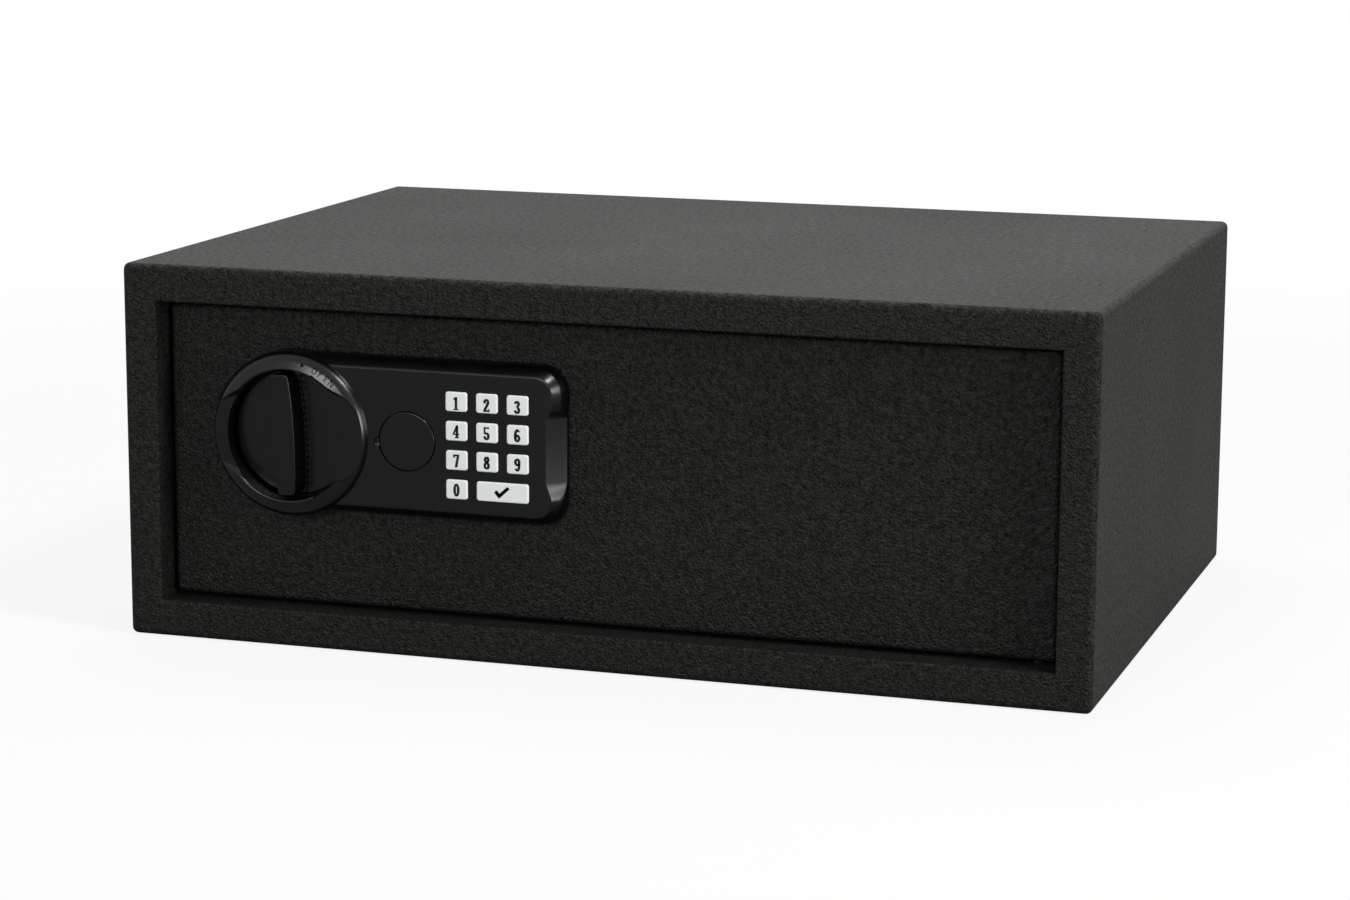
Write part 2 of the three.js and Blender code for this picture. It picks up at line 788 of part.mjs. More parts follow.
function keypadHousing() {
  const moulding = pillowed(panelOutline(), panelFace, doorRecess, panelBevel, 5);
  const bore = alongY(circle(knobX, knobZ, ringBore), ringFace - past, ringFloor, 18);
  const spindleHole = alongY(circle(knobX, knobZ, spindle / 2 + runningGap), ringFace, doorRecess + past, 8);
  const capSeat = alongY(circle(lockX, knobZ, capDiameter / 2 + runningGap), panelFace - past, capBack, 14);
  const skirtBore = alongY(circle(lockX, knobZ, capSkirt + runningGap), panelFace, ringFloor, 14);
  const barrelBore = circle(lockX, knobZ, lockBarrel / 2 + runningGap);
  const barrelHole = alongY(barrelBore, panelFace, doorRecess + past, 12);
  const notch = alongY(
    circle(lockX - capDiameter / 2 - runningGap, knobZ, capNotch / 2),
    panelFace - past,
    panelFace + capNotch / 3,
    6,
  );
  const pocket = alongY(
    roundedRect(cavityX, knobZ, cavityWidth, cavityHeight, padCavityCorner),
    wallBack,
    doorRecess + past,
    2,
  );
  const windows = keys.map(({ x, z, width }) => {
    const gap = 2 * runningGap;
    const window = roundedRect(x, z, width + gap, keyHeight + gap, keyCorner);
    return alongY(window, panelFace - past, wallBack + past, 1);
  });
  const posts = [-1, 1].flatMap((sideX) => [-1, 1].map((sideZ) => {
    const x = cavityX + sideX * (cavityWidth / 2 - boardPostInset);
    const z = knobZ + sideZ * (cavityHeight / 2 - boardPostInset);
    return alongY(circle(x, z, boardPost / 2), wallBack - past, boardFront, 6);
  }));
  const studs = housingStudPlaces.map(([x, z]) => {
    return alongY(circle(x, z, housingStud / 2), wallBack, doorRecess + housingStudLength, 6);
  });
  const shell = without(
    joined(moulding, ringBoss()),
    ...ringScoops(),
    ...endSlopes(),
    bore,
    spindleHole,
    capSeat,
    skirtBore,
    barrelHole,
    notch,
    pocket,
    ...windows,
  );
  return joined(shell, ...posts, ...studs);
}

// A key: a printed cap in its window, with a shelf behind the wall that keeps it in
function keySolid({ x, z, width }) {
  const cap = roundedRect(x, z, width, keyHeight, keyCorner);
  const shelf = rect(
    x - width / 2 - keyShelf,
    x + width / 2 + keyShelf,
    z - keyHeight / 2 - keyShelf,
    z + keyHeight / 2 + keyShelf,
  );
  const body = pillowed(cap, panelFace - keyRise, shelfBack, keyEdge, 1, 1);
  return body.add(alongY(shelf, shelfFront, shelfBack, 1));
}

function keyMat() {
  const height = cavityHeight - 2 * (boardPostInset + boardPost / 2 + runningGap);
  const sheet = alongY(
    roundedRect(cavityX, knobZ, cavityWidth - 2 * runningGap, height, matPadCorner),
    padFront + matPad,
    boardFront,
    1,
  );
  const pads = keys.map(({ x, z, width }) => {
    const inset = 2 * matPadInset;
    const pad = roundedRect(x, z, width - inset, keyHeight - inset, matPadCorner);
    return alongY(pad, padFront, padFront + matPad + matSheet / 2, 1);
  });
  return joined(sheet, ...pads);
}

function keypadBoard() {
  const width = cavityWidth - 2 * runningGap;
  const height = cavityHeight - 2 * runningGap;
  return alongY(roundedRect(cavityX, knobZ, width, height, padCavityCorner), boardFront, boardBack, 2);
}

piece("keypad_housing", keypadHousing(), blackPlastic);
piece("key_mat", keyMat(), rubber);
piece("keypad_board", keypadBoard(), circuitBoard);
keys.forEach((key) => piece(key.name, keySolid(key), keyPlastic));

// Knob: a dial sunk in the ring, with an upright grip, on a spindle that carries the crank
const dialBack = ringFloor - runningGap;
const dialFront = dialBack - dialThickness;
const crankFront = skinBack + crankGap;
const crankBack = crankFront + crankThickness;

// The grip seen from the front: a bar that swells towards its middle
function gripOutline() {
  const half = gripLength / 2;
  const end = gripEndWidth / 2;
  const swell = gripWidth - end;
  const shape = new THREE.Shape();
  shape.moveTo(gripCorner - end, -half);
  shape.lineTo(end - gripCorner, -half);
  shape.lineTo(end, gripCorner - half);
  shape.quadraticCurveTo(swell, 0, end, half - gripCorner);
  shape.lineTo(end - gripCorner, half);
  shape.lineTo(gripCorner - end, half);
  shape.lineTo(-end, half - gripCorner);
  shape.quadraticCurveTo(-swell, 0, -end, gripCorner - half);
  return shape;
}

// Ridges down both sides of the grip for the fingertips, which grow from nothing to their foot on the dial
function gripRidges() {
  return [-1, 1].flatMap((side) => Array.from({ length: gripRibs }, (_, index) => {
    const z = (index - (gripRibs - 1) / 2) * gripRibPitch;
    const swell = 1 - (z / (gripLength / 2)) ** 2;
    const wall = gripEndWidth / 2 + (swell * (gripWidth - gripEndWidth)) / 2;
    const [root, crest] = [wall - gripRibRoot, wall + gripRibRise];
    const ridge = polygon([[side * root, at(ringFace + gripRibStart)], [side * crest, at(dialFront)],
      [side * crest, at(dialFront + gripEdge)], [side * root, at(dialFront + gripEdge)]]);
    return alongZ(ridge, z - gripRibWidth / 2, z + gripRibWidth / 2);
  }));
}

function knobDial() {
  const rim = ringBore - 2 * runningGap;
  const profile = [[0, dialFront], [rim - dialEdge, dialFront], [rim, dialFront + dialEdge], [rim, dialBack],
    [0, dialBack]];
  const dial = turnedY(profile, knobX, knobZ, 36);
  const bar = pillowed(gripOutline(), ringFace, dialFront + gripEdge, gripEdge, 4);
  const grip = joined(bar, ...gripRidges()).rotate([0, gripLean, 0]);
  const bore = circle(knobX, knobZ, spindle / 2 + runningGap);
  const socket = alongY(bore, dialBack - spindleSeat, dialBack + past, 8);
  return dial.add(grip.translate([knobX + gripOffset, 0, knobZ])).subtract(socket);
}

function knobSpindle() {
  const start = dialBack - spindleSeat + runningGap;
  const round = turnedY(shaft(spindle / 2, start, crankFront, spindleChamfer), knobX, knobZ, 16);
  const square = alongY(
    roundedRect(knobX, knobZ, spindleSquare, spindleSquare, squareCorner),
    crankFront - past,
    crankBack,
    1,
  );
  const hole = alongY(
    circle(knobX, knobZ, crankScrew / 2 + runningGap),
    crankBack - crankScrewLength - runningGap,
    crankBack + past,
    6,
  );
  return round.add(square).subtract(hole);
}

const pinAngle = THREE.MathUtils.degToRad(crankPinRest);
const crankPinX = knobX + crankRadius * Math.sin(pinAngle);
const crankPinZ = knobZ + crankRadius * Math.cos(pinAngle);

function crank() {
  const disc = alongY(circle(knobX, knobZ, crankDisc / 2), crankFront, crankBack, 12);
  const outline = circle(crankPinX, crankPinZ, crankPin / 2);
  const pin = alongY(outline, crankBack - past, crankBack + crankPinLength, 8);
  const socket = spindleSquare + 2 * runningGap;
  const square = alongY(
    roundedRect(knobX, knobZ, socket, socket, squareCorner),
    crankFront - past,
    crankBack + past,
    1,
  );
  return disc.add(pin).subtract(square);
}

piece("knob_dial", knobDial(), blackPlastic);
piece("knob_spindle", knobSpindle(), zincSteel);
piece("crank_disc", crank(), zincSteel);
piece(
  "crank_screw",
  screw([knobX, knobZ], crankBack, crankScrew, crankScrewHead, crankScrewHeadHeight, crankScrewBite),
  zincSteel,
);

// Key lock: a barrel through the door with a nut behind it, a plug with its cam, and a snap-in cap
const lockFront = ringFloor - lockFlangeThickness;
const lockBack = lockFront + lockLength;

function lockBarrelSolid() {
  const inner = lockPlug / 2 + runningGap;
  const flange = lockFlange / 2;
  const edge = lockFlangeEdge;
  const profile = [[inner, lockFront], [flange - edge, lockFront], [flange, lockFront + edge],
    [flange, ringFloor], [lockBarrel / 2, ringFloor], [lockBarrel / 2, lockBack], [inner, lockBack],
    [inner, lockFront]];
  return turnedY(profile, lockX, knobZ, 20);
}

function lockPlugSolid() {
  const camFront = lockBack + runningGap;
  const camBack = camFront + camThickness;
  const headFront = camBack + runningGap;
  const headBack = headFront + lockTailHeadThickness;
  const [radius, tail, head] = [lockPlug / 2, lockTail / 2, lockTailHead / 2];
  const profile = [[0, lockFront + runningGap], [radius, lockFront + runningGap], [radius, lockBack],
    [tail, lockBack], [tail, headFront], [head, headFront], [head, headBack], [0, headBack]];
  const slotCut = alongY(
    roundedRect(lockX, knobZ, keyway, keywayHeight, squareCorner),
    lockFront - past,
    lockFront + keywayDepth,
    1,
  );
  return turnedY(profile, lockX, knobZ, 16).subtract(slotCut);
}

function lockCam() {
  const camFront = lockBack + runningGap;
  const reach = roundedRect(lockX, knobZ - camReach / 2, camWidth, camReach + camWidth, camWidth / 2);
  const bore = circle(lockX, knobZ, lockTail / 2 + runningGap);
  const camBack = camFront + camThickness;
  return alongY(reach, camFront, camBack, 5).subtract(alongY(bore, camFront - past, camBack + past, 8));
}

function lockNutSolid() {
  const corners = [0, 1, 2, 3, 4, 5].map((i) => {
    const turn = (i * Math.PI) / 3;
    return [lockX + (lockNut / 2) * Math.cos(turn), knobZ + (lockNut / 2) * Math.sin(turn)];
  });
  const hole = circle(lockX, knobZ, lockBarrel / 2 + runningGap);
  const nutBack = skinBack + lockNutThickness;
  const nut = alongY(polygon(corners), skinBack, nutBack);
  return nut.subtract(alongY(hole, skinBack - past, nutBack + past, 10));
}

function lockCap() {
  const r = capDiameter / 2;
  const skirtEnd = capBack + capSkirtLength;
  const inner = capSkirt - capSkirtWall;
  const profile = [[0, capFront], [r - capEdge, capFront], [r, capFront + capEdge], [r, capBack],
    [capSkirt, capBack], [capSkirt, skirtEnd], [inner, skirtEnd], [inner, capBack], [0, capBack]];
  return turnedY(profile, lockX, knobZ, 26);
}

piece("lock_barrel", lockBarrelSolid(), zincSteel);
piece("lock_plug", lockPlugSolid(), brass);
piece("lock_cam", lockCam(), zincSteel);
piece("lock_nut", lockNutSolid(), zincSteel);
piece("lock_cap", lockCap(), blackPlastic);

// Bolt work: a carriage plate slides on four shoulder screws and carries the two round bolts
const boltTip = doorLeft + boltRecess;
const boltBack = boltTip + boltLength;
const carriageRight = boltBack + carriageWidth;
const plungerX = left + plungerFromLeft;
const toothX = plungerX + boltTravel / 2;
const toothBottom = plungerTip + plungerClear;
const armBottom = toothBottom + plungerTravel + runningGap;

function boltCarriage() {
  const middleZ = (carriageBottom + carriageTop) / 2;
  const height = carriageTop - carriageBottom;
  const plate = alongY(
    roundedRect(boltBack + carriageWidth / 2, middleZ, carriageWidth, height, carriageCorner),
    carriageFront,
    carriageBack,
    2,
  );
  const [root, toothLeft, toothRight] = [
    carriageRight - carriageCorner,
    toothX - toothWidth / 2,
    toothX + toothWidth / 2,
  ];
  const armTop = armBottom + armHeight;
  const arm = alongY(
    polygon([[root, armBottom], [toothLeft, armBottom], [toothLeft, toothBottom], [toothRight, toothBottom],
      [toothRight, armTop - armCorner], [toothRight - armCorner, armTop], [root, armTop]]),
    carriageFront,
    carriageBack,
  );
  const flangeBack = at(carriageFront + carriageFlangeDepth);
  const [flangeLow, flangeHigh] = [carriageBottom + carriageCorner, carriageTop - carriageCorner];
  const flange = alongX(
    rect(at(carriageFront), flangeBack, flangeLow, flangeHigh),
    boltBack,
    boltBack + carriageSheet,
  );
  const stubHoles = boltHeights.map((z) => {
    const hole = circle(at(boltDepth), z, boltStub / 2 + runningGap);
    return alongX(hole, boltBack - past, boltBack + carriageSheet + past, 8);
  });
  const [low, high] = [crankPinZ, knobZ + crankRadius];
  const slotWidth = crankPin + 2 * crankSlotGap;
  const slotLength = high - low + slotWidth + 2 * crankSlotGap;
  const crankSlot = alongY(
    roundedRect(crankPinX, (low + high) / 2, slotWidth, slotLength, slotWidth / 2),
    carriageFront - past,
    carriageBack + past,
    5,
  );
  const guideHalf = guideScrew / 2 + runningGap;
  const guideSlots = guidePlaces.map(([x, z]) => {
    const outline = slot(x - guideHalf, x + boltTravel + guideHalf, z, 2 * guideHalf);
    return alongY(outline, carriageFront - past, carriageBack + past, 4);
  });
  const windowX = boltBack + carriageWindowLeft + carriageWindowWidth / 2;
  const windowZ = middleZ - carriageWindowDrop;
  const window = alongY(
    roundedRect(windowX, windowZ, carriageWindowWidth, carriageWindowHeight, carriageWindowCorner),
    carriageFront - past,
    carriageBack + past,
    3,
  );
  return without(joined(plate, arm, flange), ...stubHoles, crankSlot, ...guideSlots, window);
}

function bolt(z) {
  const r = boltDiameter / 2;
  const profile = [[0, boltTip], [r - boltNose, boltTip], [r, boltTip + boltNose], [r, boltBack],
    [boltStub / 2, boltBack], [boltStub / 2, boltBack + boltStubLength], [0, boltBack + boltStubLength]];
  return turnedX(profile, at(boltDepth), z);
}

piece("bolt_carriage", boltCarriage(), zincSteel);
piece("lower_bolt", bolt(boltHeights[0]), brightSteel);
piece("upper_bolt", bolt(boltHeights[1]), brightSteel);
guidePlaces.forEach((place, i) => {
  const seat = carriageBack + runningGap;
  const length = seat - carriageFront + 2 * runningGap + guideScrewBite;
  const body = screw(place, seat, guideScrew, guideScrewHead, guideScrewHeadHeight, length);
  piece(`guide_screw_${i + 1}`, body, zincSteel);
});

// Locking solenoid: its plunger rises in front of the carriage's tooth and is sprung upwards
const plungerDepth = skinBack + bracketSheet + runningGap + coilDiameter / 2;
const plungerBore = plungerDiameter / 2 + runningGap;
const coilTop = coilBase + coilHeight;
const bracketBottom = coilBase - runningGap - bracketSheet;
const bracketTop = coilTop + runningGap + bracketSheet;
const collarTop = plungerTip - plungerCollarDrop;
const collarBottom = collarTop - plungerCollarThickness;

function solenoidBracket() {
  const [y0, y1] = [at(skinBack), at(skinBack + bracketSheet)];
  const y2 = at(plungerDepth + coilDiameter / 2 + bracketLip);
  const channel = polygon([[y0, bracketBottom], [y2, bracketBottom], [y2, bracketBottom + bracketSheet],
    [y1, bracketBottom + bracketSheet], [y1, bracketTop - bracketSheet], [y2, bracketTop - bracketSheet],
    [y2, bracketTop], [y0, bracketTop]]);
  const body = alongX(channel, plungerX - bracketWidth / 2, plungerX + bracketWidth / 2);
  const hole = circle(plungerX, at(plungerDepth), plungerBore);
  return body.subtract(alongZ(hole, bracketTop - bracketSheet - past, bracketTop + past, 8));
}

function solenoidCoil() {
  const outer = coilDiameter / 2;
  const winding = outer - bobbinStep;
  const [low, high] = [coilBase + bobbinFlange, coilTop - bobbinFlange];
  const profile = [[plungerBore, coilBase], [outer, coilBase], [outer, low], [winding, low],
    [winding, high], [outer, high], [outer, coilTop], [plungerBore, coilTop],
    [plungerBore, coilBase]];
  return turnedZ(profile, plungerX, at(plungerDepth), 16);
}

function plunger() {
  const r = plungerDiameter / 2;
  const collar = plungerCollar / 2;
  const profile = [[0, plungerTip - plungerLength], [r, plungerTip - plungerLength], [r, collarBottom],
    [collar, collarBottom], [collar, collarTop], [r, collarTop], [r, plungerTip - plungerChamfer],
    [r - plungerChamfer, plungerTip], [0, plungerTip]];
  return turnedZ(profile, plungerX, at(plungerDepth), 16);
}

class Helix extends THREE.Curve {
  constructor(radius, start, rise, turns) {
    super();
    Object.assign(this, { radius, start, rise, turns });
  }

  getPoint(t, target = new THREE.Vector3()) {
    const turn = 2 * Math.PI * this.turns * t;
    return target.set(this.radius * Math.cos(turn), this.radius * Math.sin(turn), this.start + this.rise * t);
  }
}

function plungerSpring() {
  const wire = springWire / 2;
  const radius = plungerBore + runningGap + wire;
  const start = bracketTop + runningGap + wire;
  const end = collarBottom - runningGap - wire;
  const geometry = new THREE.ExtrudeGeometry(circle(0, 0, wire), {
    steps: springTurns * 10,
    extrudePath: new Helix(radius, start, end - start, springTurns),
    curveSegments: 2,
  });
  return solid(geometry.translate(plungerX, at(plungerDepth), 0));
}

piece("solenoid_bracket", solenoidBracket(), zincSteel);
piece("solenoid_coil", solenoidCoil(), copperWire);
piece("solenoid_plunger", plunger(), brightSteel);
piece("plunger_spring", plungerSpring(), brightSteel);

// Batteries: a moulded box behind a lift-off cover in the door's back
const boxBack = batteryCoverFront;
const cellDepth = skinBack + boxFloor + runningGap + cellDiameter / 2;

function batteryBox() {
  const outer = roundedRect(boxX, boxMiddle, boxWidth, boxHeight, boxCorner);
  const inner = roundedRect(boxX, boxMiddle, boxInnerWidth, boxInnerHeight, boxInnerCorner);
  const hollow = alongY(inner, skinBack + boxFloor, boxBack + past, 1);
  return alongY(outer, skinBack, boxBack, 2).subtract(hollow);
}

function cell(index) {
  const z = boxMiddle + (index - (cellCount - 1) / 2) * cellPitch;
  const way = index % 2 === 0 ? 1 : -1;
  const half = (cellLength + cellButtonHeight) / 2;
  const r = cellDiameter / 2;
  const shoulder = cellLength - half;
  const profile = [[0, -half], [r - cellEdge, -half], [r, cellEdge - half], [r, shoulder - cellEdge],
    [r - cellEdge, shoulder], [cellButton / 2, shoulder], [cellButton / 2, half], [0, half]];
  const turned = turnedX(profile.map(([radius, x]) => [radius, way * x]), at(cellDepth), z, 12);
  return turned.translate([boxX, 0, 0]);
}

// A strip of spring plate at the end of the cells, with a raised tongue for each of them
function contactStrip(side) {
  const wall = boxX + (side * boxInnerWidth) / 2;
  const face = wall - side * contactStripThickness;
  const [x0, x1] = [Math.min(wall, face), Math.max(wall, face)];
  const half = boxInnerHeight / 2 - contactStripMargin;
  const tongueHalf = contactTongueWidth / 2;
  const [stripFront, stripBack] = [-1, 1].map((way) => at(cellDepth + (way * contactStripWidth) / 2));
  const strip = rect(stripFront, stripBack, boxMiddle - half, boxMiddle + half);
  const tongueReach = (boxInnerWidth - cellLength - cellButtonHeight) / 2 - runningGap;
  const tongues = Array.from({ length: cellCount }, (_, index) => {
    const z = boxMiddle + (index - (cellCount - 1) / 2) * cellPitch;
    const tongue = polygon([[wall, at(cellDepth - tongueHalf)], [wall - side * tongueReach, at(cellDepth)],
      [wall, at(cellDepth + tongueHalf)]]);
    return alongZ(tongue, z - contactTongueHeight / 2, z + contactTongueHeight / 2);
  });
  return joined(alongX(strip, x0, x1), ...tongues);
}

function batteryCover() {
  const outline = roundedRect(boxX, boxMiddle, boxWidth, boxHeight, boxCorner);
  const coverFace = coverBack + batteryCoverProud;
  const plate = alongY(outline, batteryCoverFront, coverFace, 3);
  const notchZ = boxMiddle + boxHeight / 2 - thumbNotchInset;
  const notch = slot(boxX - thumbNotch / 2, boxX + thumbNotch / 2, notchZ, thumbNotchHeight);
  return plate.subtract(alongY(notch, coverFace - thumbNotchDepth, coverFace + past, 3));
}

piece("battery_box", batteryBox(), blackPlastic);
for (let index = 0; index < cellCount; index += 1) {
  piece(`battery_${index + 1}`, cell(index), cellSleeve);
}
piece("left_battery_contact", contactStrip(-1), brightSteel);
piece("right_battery_contact", contactStrip(1), brightSteel);
piece("battery_cover", batteryCover(), blackPlastic);

// Control board on two riveted posts, and the button behind it that starts a new code
function controlBoard() {
  const outline = roundedRect(controlX, panelMiddle, controlWidth, controlHeight, controlCorner);
  const controlBack = controlDepth + boardThickness;
  const holes = controlPlaces.map(([x, z]) => {
    return alongY(circle(x, z, controlPeg / 2 + runningGap), controlDepth - past, controlBack + past, 4);
  });
  return without(alongY(outline, controlDepth, controlBack, 2), ...holes);
}

function resetButton() {
  const flangeBack = doorBack - runningGap;
  const flangeFront = flangeBack - resetFlangeThickness;
  const start = controlDepth + boardThickness + resetTravel + runningGap;
  const tip = coverBack + resetProud;
  const r = resetDiameter / 2;
  const profile = [[0, start], [r, start], [r, flangeFront], [resetFlange / 2, flangeFront],
    [resetFlange / 2, flangeBack], [r, flangeBack], [r, tip - resetChamfer],
    [r - resetChamfer, tip], [0, tip]];
  return turnedY(profile, controlX, panelMiddle, 16);
}

piece("control_board", controlBoard(), circuitBoard);
piece("reset_button", resetButton(), resetPlastic);

export default safe;
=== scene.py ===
import math

import bmesh
import bpy
from mathutils import Matrix, Vector


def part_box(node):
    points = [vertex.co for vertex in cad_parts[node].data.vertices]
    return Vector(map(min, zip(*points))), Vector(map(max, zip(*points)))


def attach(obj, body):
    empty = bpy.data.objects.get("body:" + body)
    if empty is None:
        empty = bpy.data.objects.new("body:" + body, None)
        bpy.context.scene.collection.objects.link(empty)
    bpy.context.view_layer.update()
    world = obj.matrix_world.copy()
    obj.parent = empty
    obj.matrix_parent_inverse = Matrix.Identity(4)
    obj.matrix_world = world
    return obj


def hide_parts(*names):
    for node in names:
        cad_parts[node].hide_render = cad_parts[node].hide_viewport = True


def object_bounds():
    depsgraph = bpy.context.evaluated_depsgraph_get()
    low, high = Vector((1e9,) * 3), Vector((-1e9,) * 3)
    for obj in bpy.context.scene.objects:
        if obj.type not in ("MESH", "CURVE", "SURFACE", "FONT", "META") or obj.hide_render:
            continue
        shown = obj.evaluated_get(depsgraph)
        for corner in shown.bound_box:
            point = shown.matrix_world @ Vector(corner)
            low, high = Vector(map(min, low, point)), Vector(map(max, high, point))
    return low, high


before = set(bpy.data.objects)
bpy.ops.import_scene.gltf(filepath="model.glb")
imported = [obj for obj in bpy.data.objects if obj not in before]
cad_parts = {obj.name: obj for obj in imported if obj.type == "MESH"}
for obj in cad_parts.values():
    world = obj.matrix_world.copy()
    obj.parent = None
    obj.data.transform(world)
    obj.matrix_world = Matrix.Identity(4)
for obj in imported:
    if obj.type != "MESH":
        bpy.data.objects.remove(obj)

cad_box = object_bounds()

# Studio. A pale floor that fades into a white surround, lit by four soft lamps: one above and behind the
# case, two to its right and one in front, so that the lid is its lightest side and the door its darkest.
MM = 0.001
FLOOR_REACH = 6.0
FLOOR_DROP = 0.2 * MM
FLOOR_GREY = (0.35, 0.35, 0.35, 1)
FLOOR_GREY_SEEN = (0.62, 0.62, 0.62, 1)
FLOOR_WHITE_NEAR = 0.86
FADE_START = 0.5
FADE_END = 1.3
FLOOR_SHINE = 0.02
WHITE = (1, 1, 1, 1)
SURROUND_FILL = 0.32
scene = bpy.context.scene
scene.view_settings.view_transform = "Standard"


def fed(tree, node, inputs):
    """Gives each input of a shader node its value, or the output that it is linked to."""
    for socket, value in inputs.items():
        if isinstance(value, bpy.types.NodeSocket):
            tree.links.new(value, node.inputs[socket])
        else:
            node.inputs[socket].default_value = value
    return node


def wired(tree, kind, inputs, **settings):
    """Adds a shader node with its settings and inputs."""
    node = tree.nodes.new("ShaderNode" + kind)
    for name, value in settings.items():
        setattr(node, name, value)
    return fed(tree, node, inputs)


def emptied_tree(owner):
    owner.use_nodes = True
    owner.node_tree.nodes.clear()
    return owner.node_tree


def whitened(tree, lit, white, seen, shine):
    """Lays plain white over a lit surface, as far as the camera and a gloss see it."""
    path = wired(tree, "LightPath", {})
    eye = wired(tree, "Math", {0: path.outputs["Is Camera Ray"], 1: seen}, operation="MULTIPLY")
    gloss = wired(tree, "Math", {0: path.outputs["Is Glossy Ray"], 1: shine}, operation="MULTIPLY")
    share = wired(tree, "Math", {0: eye.outputs[0], 1: gloss.outputs[0]}, operation="MAXIMUM")
    return wired(tree, "MixShader", {0: share.outputs[0], 1: lit.outputs[0], 2: white.outputs[0]}).outputs[0]


floor_paint = bpy.data.materials.new("pale_floor")
floor_tree = emptied_tree(floor_paint)
floor_path = wired(floor_tree, "LightPath", {})
floor_grey = wired(
    floor_tree, "Mix", {0: floor_path.outputs["Is Camera Ray"], 6: FLOOR_GREY, 7: FLOOR_GREY_SEEN}, data_type="RGBA",
)
floor_place = wired(floor_tree, "TexCoord", {})
floor_away = wired(floor_tree, "VectorMath", {0: floor_place.outputs["Object"]}, operation="LENGTH")
floor_fade = wired(floor_tree, "MapRange", {
    "Value": floor_away.outputs["Value"], "From Min": FADE_START, "From Max": FADE_END,
    "To Min": FLOOR_WHITE_NEAR, "To Max": 1.0,
}, interpolation_type="SMOOTHSTEP")
floor_matt = wired(floor_tree, "BsdfDiffuse", {"Color": floor_grey.outputs[2]})
floor_white = wired(floor_tree, "Emission", {})
wired(floor_tree, "OutputMaterial", {
    "Surface": whitened(floor_tree, floor_matt, floor_white, floor_fade.outputs["Result"], FLOOR_SHINE),
})
floor_bm = bmesh.new()
bmesh.ops.create_grid(floor_bm, x_segments=1, y_segments=1, size=FLOOR_REACH)
bmesh.ops.translate(floor_bm, vec=(0, 0, cad_box[0][2] - FLOOR_DROP), verts=floor_bm.verts)
floor_mesh = bpy.data.meshes.new("floor")
floor_bm.to_mesh(floor_mesh)
floor_bm.free()
floor = bpy.data.objects.new("floor", floor_mesh)
scene.collection.objects.link(floor)
floor.data.materials.append(floor_paint)

surround = bpy.data.worlds.new("surround")
scene.world = surround
surround_tree = emptied_tree(surround)
surround_fill = wired(surround_tree, "Background", {"Color": WHITE, "Strength": SURROUND_FILL})
surround_white = wired(surround_tree, "Background", {"Color": WHITE, "Strength": 1.0})
wired(surround_tree, "OutputWorld", {
    "Surface": whitened(surround_tree, surround_fill, surround_white, seen=1.0, shine=1.0),
})


def softbox(name, place, target, width, height, power, colour):
    lamp = bpy.data.lights.new(name, "AREA")
    lamp.color = colour
    lamp.shape = "RECTANGLE"
    lamp.size = width
    lamp.size_y = height
    lamp.energy = power
    lamp_object = bpy.data.objects.new(name, lamp)
    lamp_object.location = place
    lamp_object.rotation_euler = (Vector(target) - Vector(place)).to_track_quat("-Z", "Y").to_euler()
    scene.collection.objects.link(lamp_object)


softbox("overhead", (-0.3, 0.6, 1.6), (0, 0.1, 0.1), 1.4, 1.0, 16, (1, 0.985, 0.94))
softbox("high_right", (0.95, -0.44, 1.55), (-0.05, -0.1, 0.08), 0.32, 0.32, 20, (1, 0.99, 0.96))
softbox("low_right", (1.6, -0.62, 0.34), (-0.05, -0.1, 0.08), 0.5, 0.6, 17, (1, 0.99, 0.97))
softbox("front", (-0.27, -2.06, 0.73), (-0.1, -0.1, 0.08), 0.6, 0.4, 16, (1, 1, 1))

CAMERA_PLACE = (0.47694, -1.51264, 0.37283)
CAMERA_TURN = (79.115, -0.244, 17.987)
CAMERA_LENS = 93.45
CAMERA_SENSOR = 36
camera_data = bpy.data.cameras.new("camera")
camera_data.lens = CAMERA_LENS
camera_data.sensor_width = CAMERA_SENSOR
camera = bpy.data.objects.new("camera", camera_data)
camera.location = CAMERA_PLACE
camera.rotation_euler = [math.radians(angle) for angle in CAMERA_TURN]
scene.collection.objects.link(camera)
scene.camera = camera


# Case shell. One blank of 2 mm steel is folded into the wrapper and its front frame, with 3 mm bends
# and turned-in returns round the door opening, then welded, dressed smooth and powder coated.
SHEET = 2 * MM
BEND = 3 * MM
BEND_STEPS = 6
STEEL_CREASE = 35
FRAME_SIDE = 15.5 * MM
FRAME_LEVEL = 16.2 * MM
UPRIGHT_RETURN = 19.5 * MM
OPENING_BEND = 1.0 * MM
ANCHOR_RADIUS = 5 * MM
ANCHOR_REACH = 115 * MM
DRILL_PAST = 10 * MM
SLACK = 0.01 * MM
WELD = 0.001 * MM
COAT_BLACK = (0.0064, 0.0064, 0.0058)
frame_low, frame_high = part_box("front_frame")
shell_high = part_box("body_shell")[1]
back_low, back_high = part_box("back_panel")
level_return = frame_high.y - frame_low.y
opening_x = frame_high.x - FRAME_SIDE
opening_low = frame_low.z + FRAME_LEVEL
opening_high = frame_high.z - FRAME_LEVEL


def finish(name):
    """A new material, its tree and shader, and the Object coordinates that its patterns read."""
    material = bpy.data.materials.new(name)
    material.use_nodes = True
    tree = material.node_tree
    return material, tree, tree.nodes["Principled BSDF"], wired(tree, "TexCoord", {}).outputs["Object"]


def noise(tree, place, scale, detail=2, warp=0):
    inputs = {"Vector": place, "Scale": scale, "Detail": detail, "Distortion": warp}
    return wired(tree, "TexNoise", inputs).outputs["Fac"]


def spread(tree, pattern, low, high, start=0.0, end=1.0):
    """Maps a pattern's values between start and end onto low to high."""
    inputs = {"Value": pattern, "From Min": start, "From Max": end, "To Min": low, "To Max": high}
    return wired(tree, "MapRange", inputs).outputs["Result"]


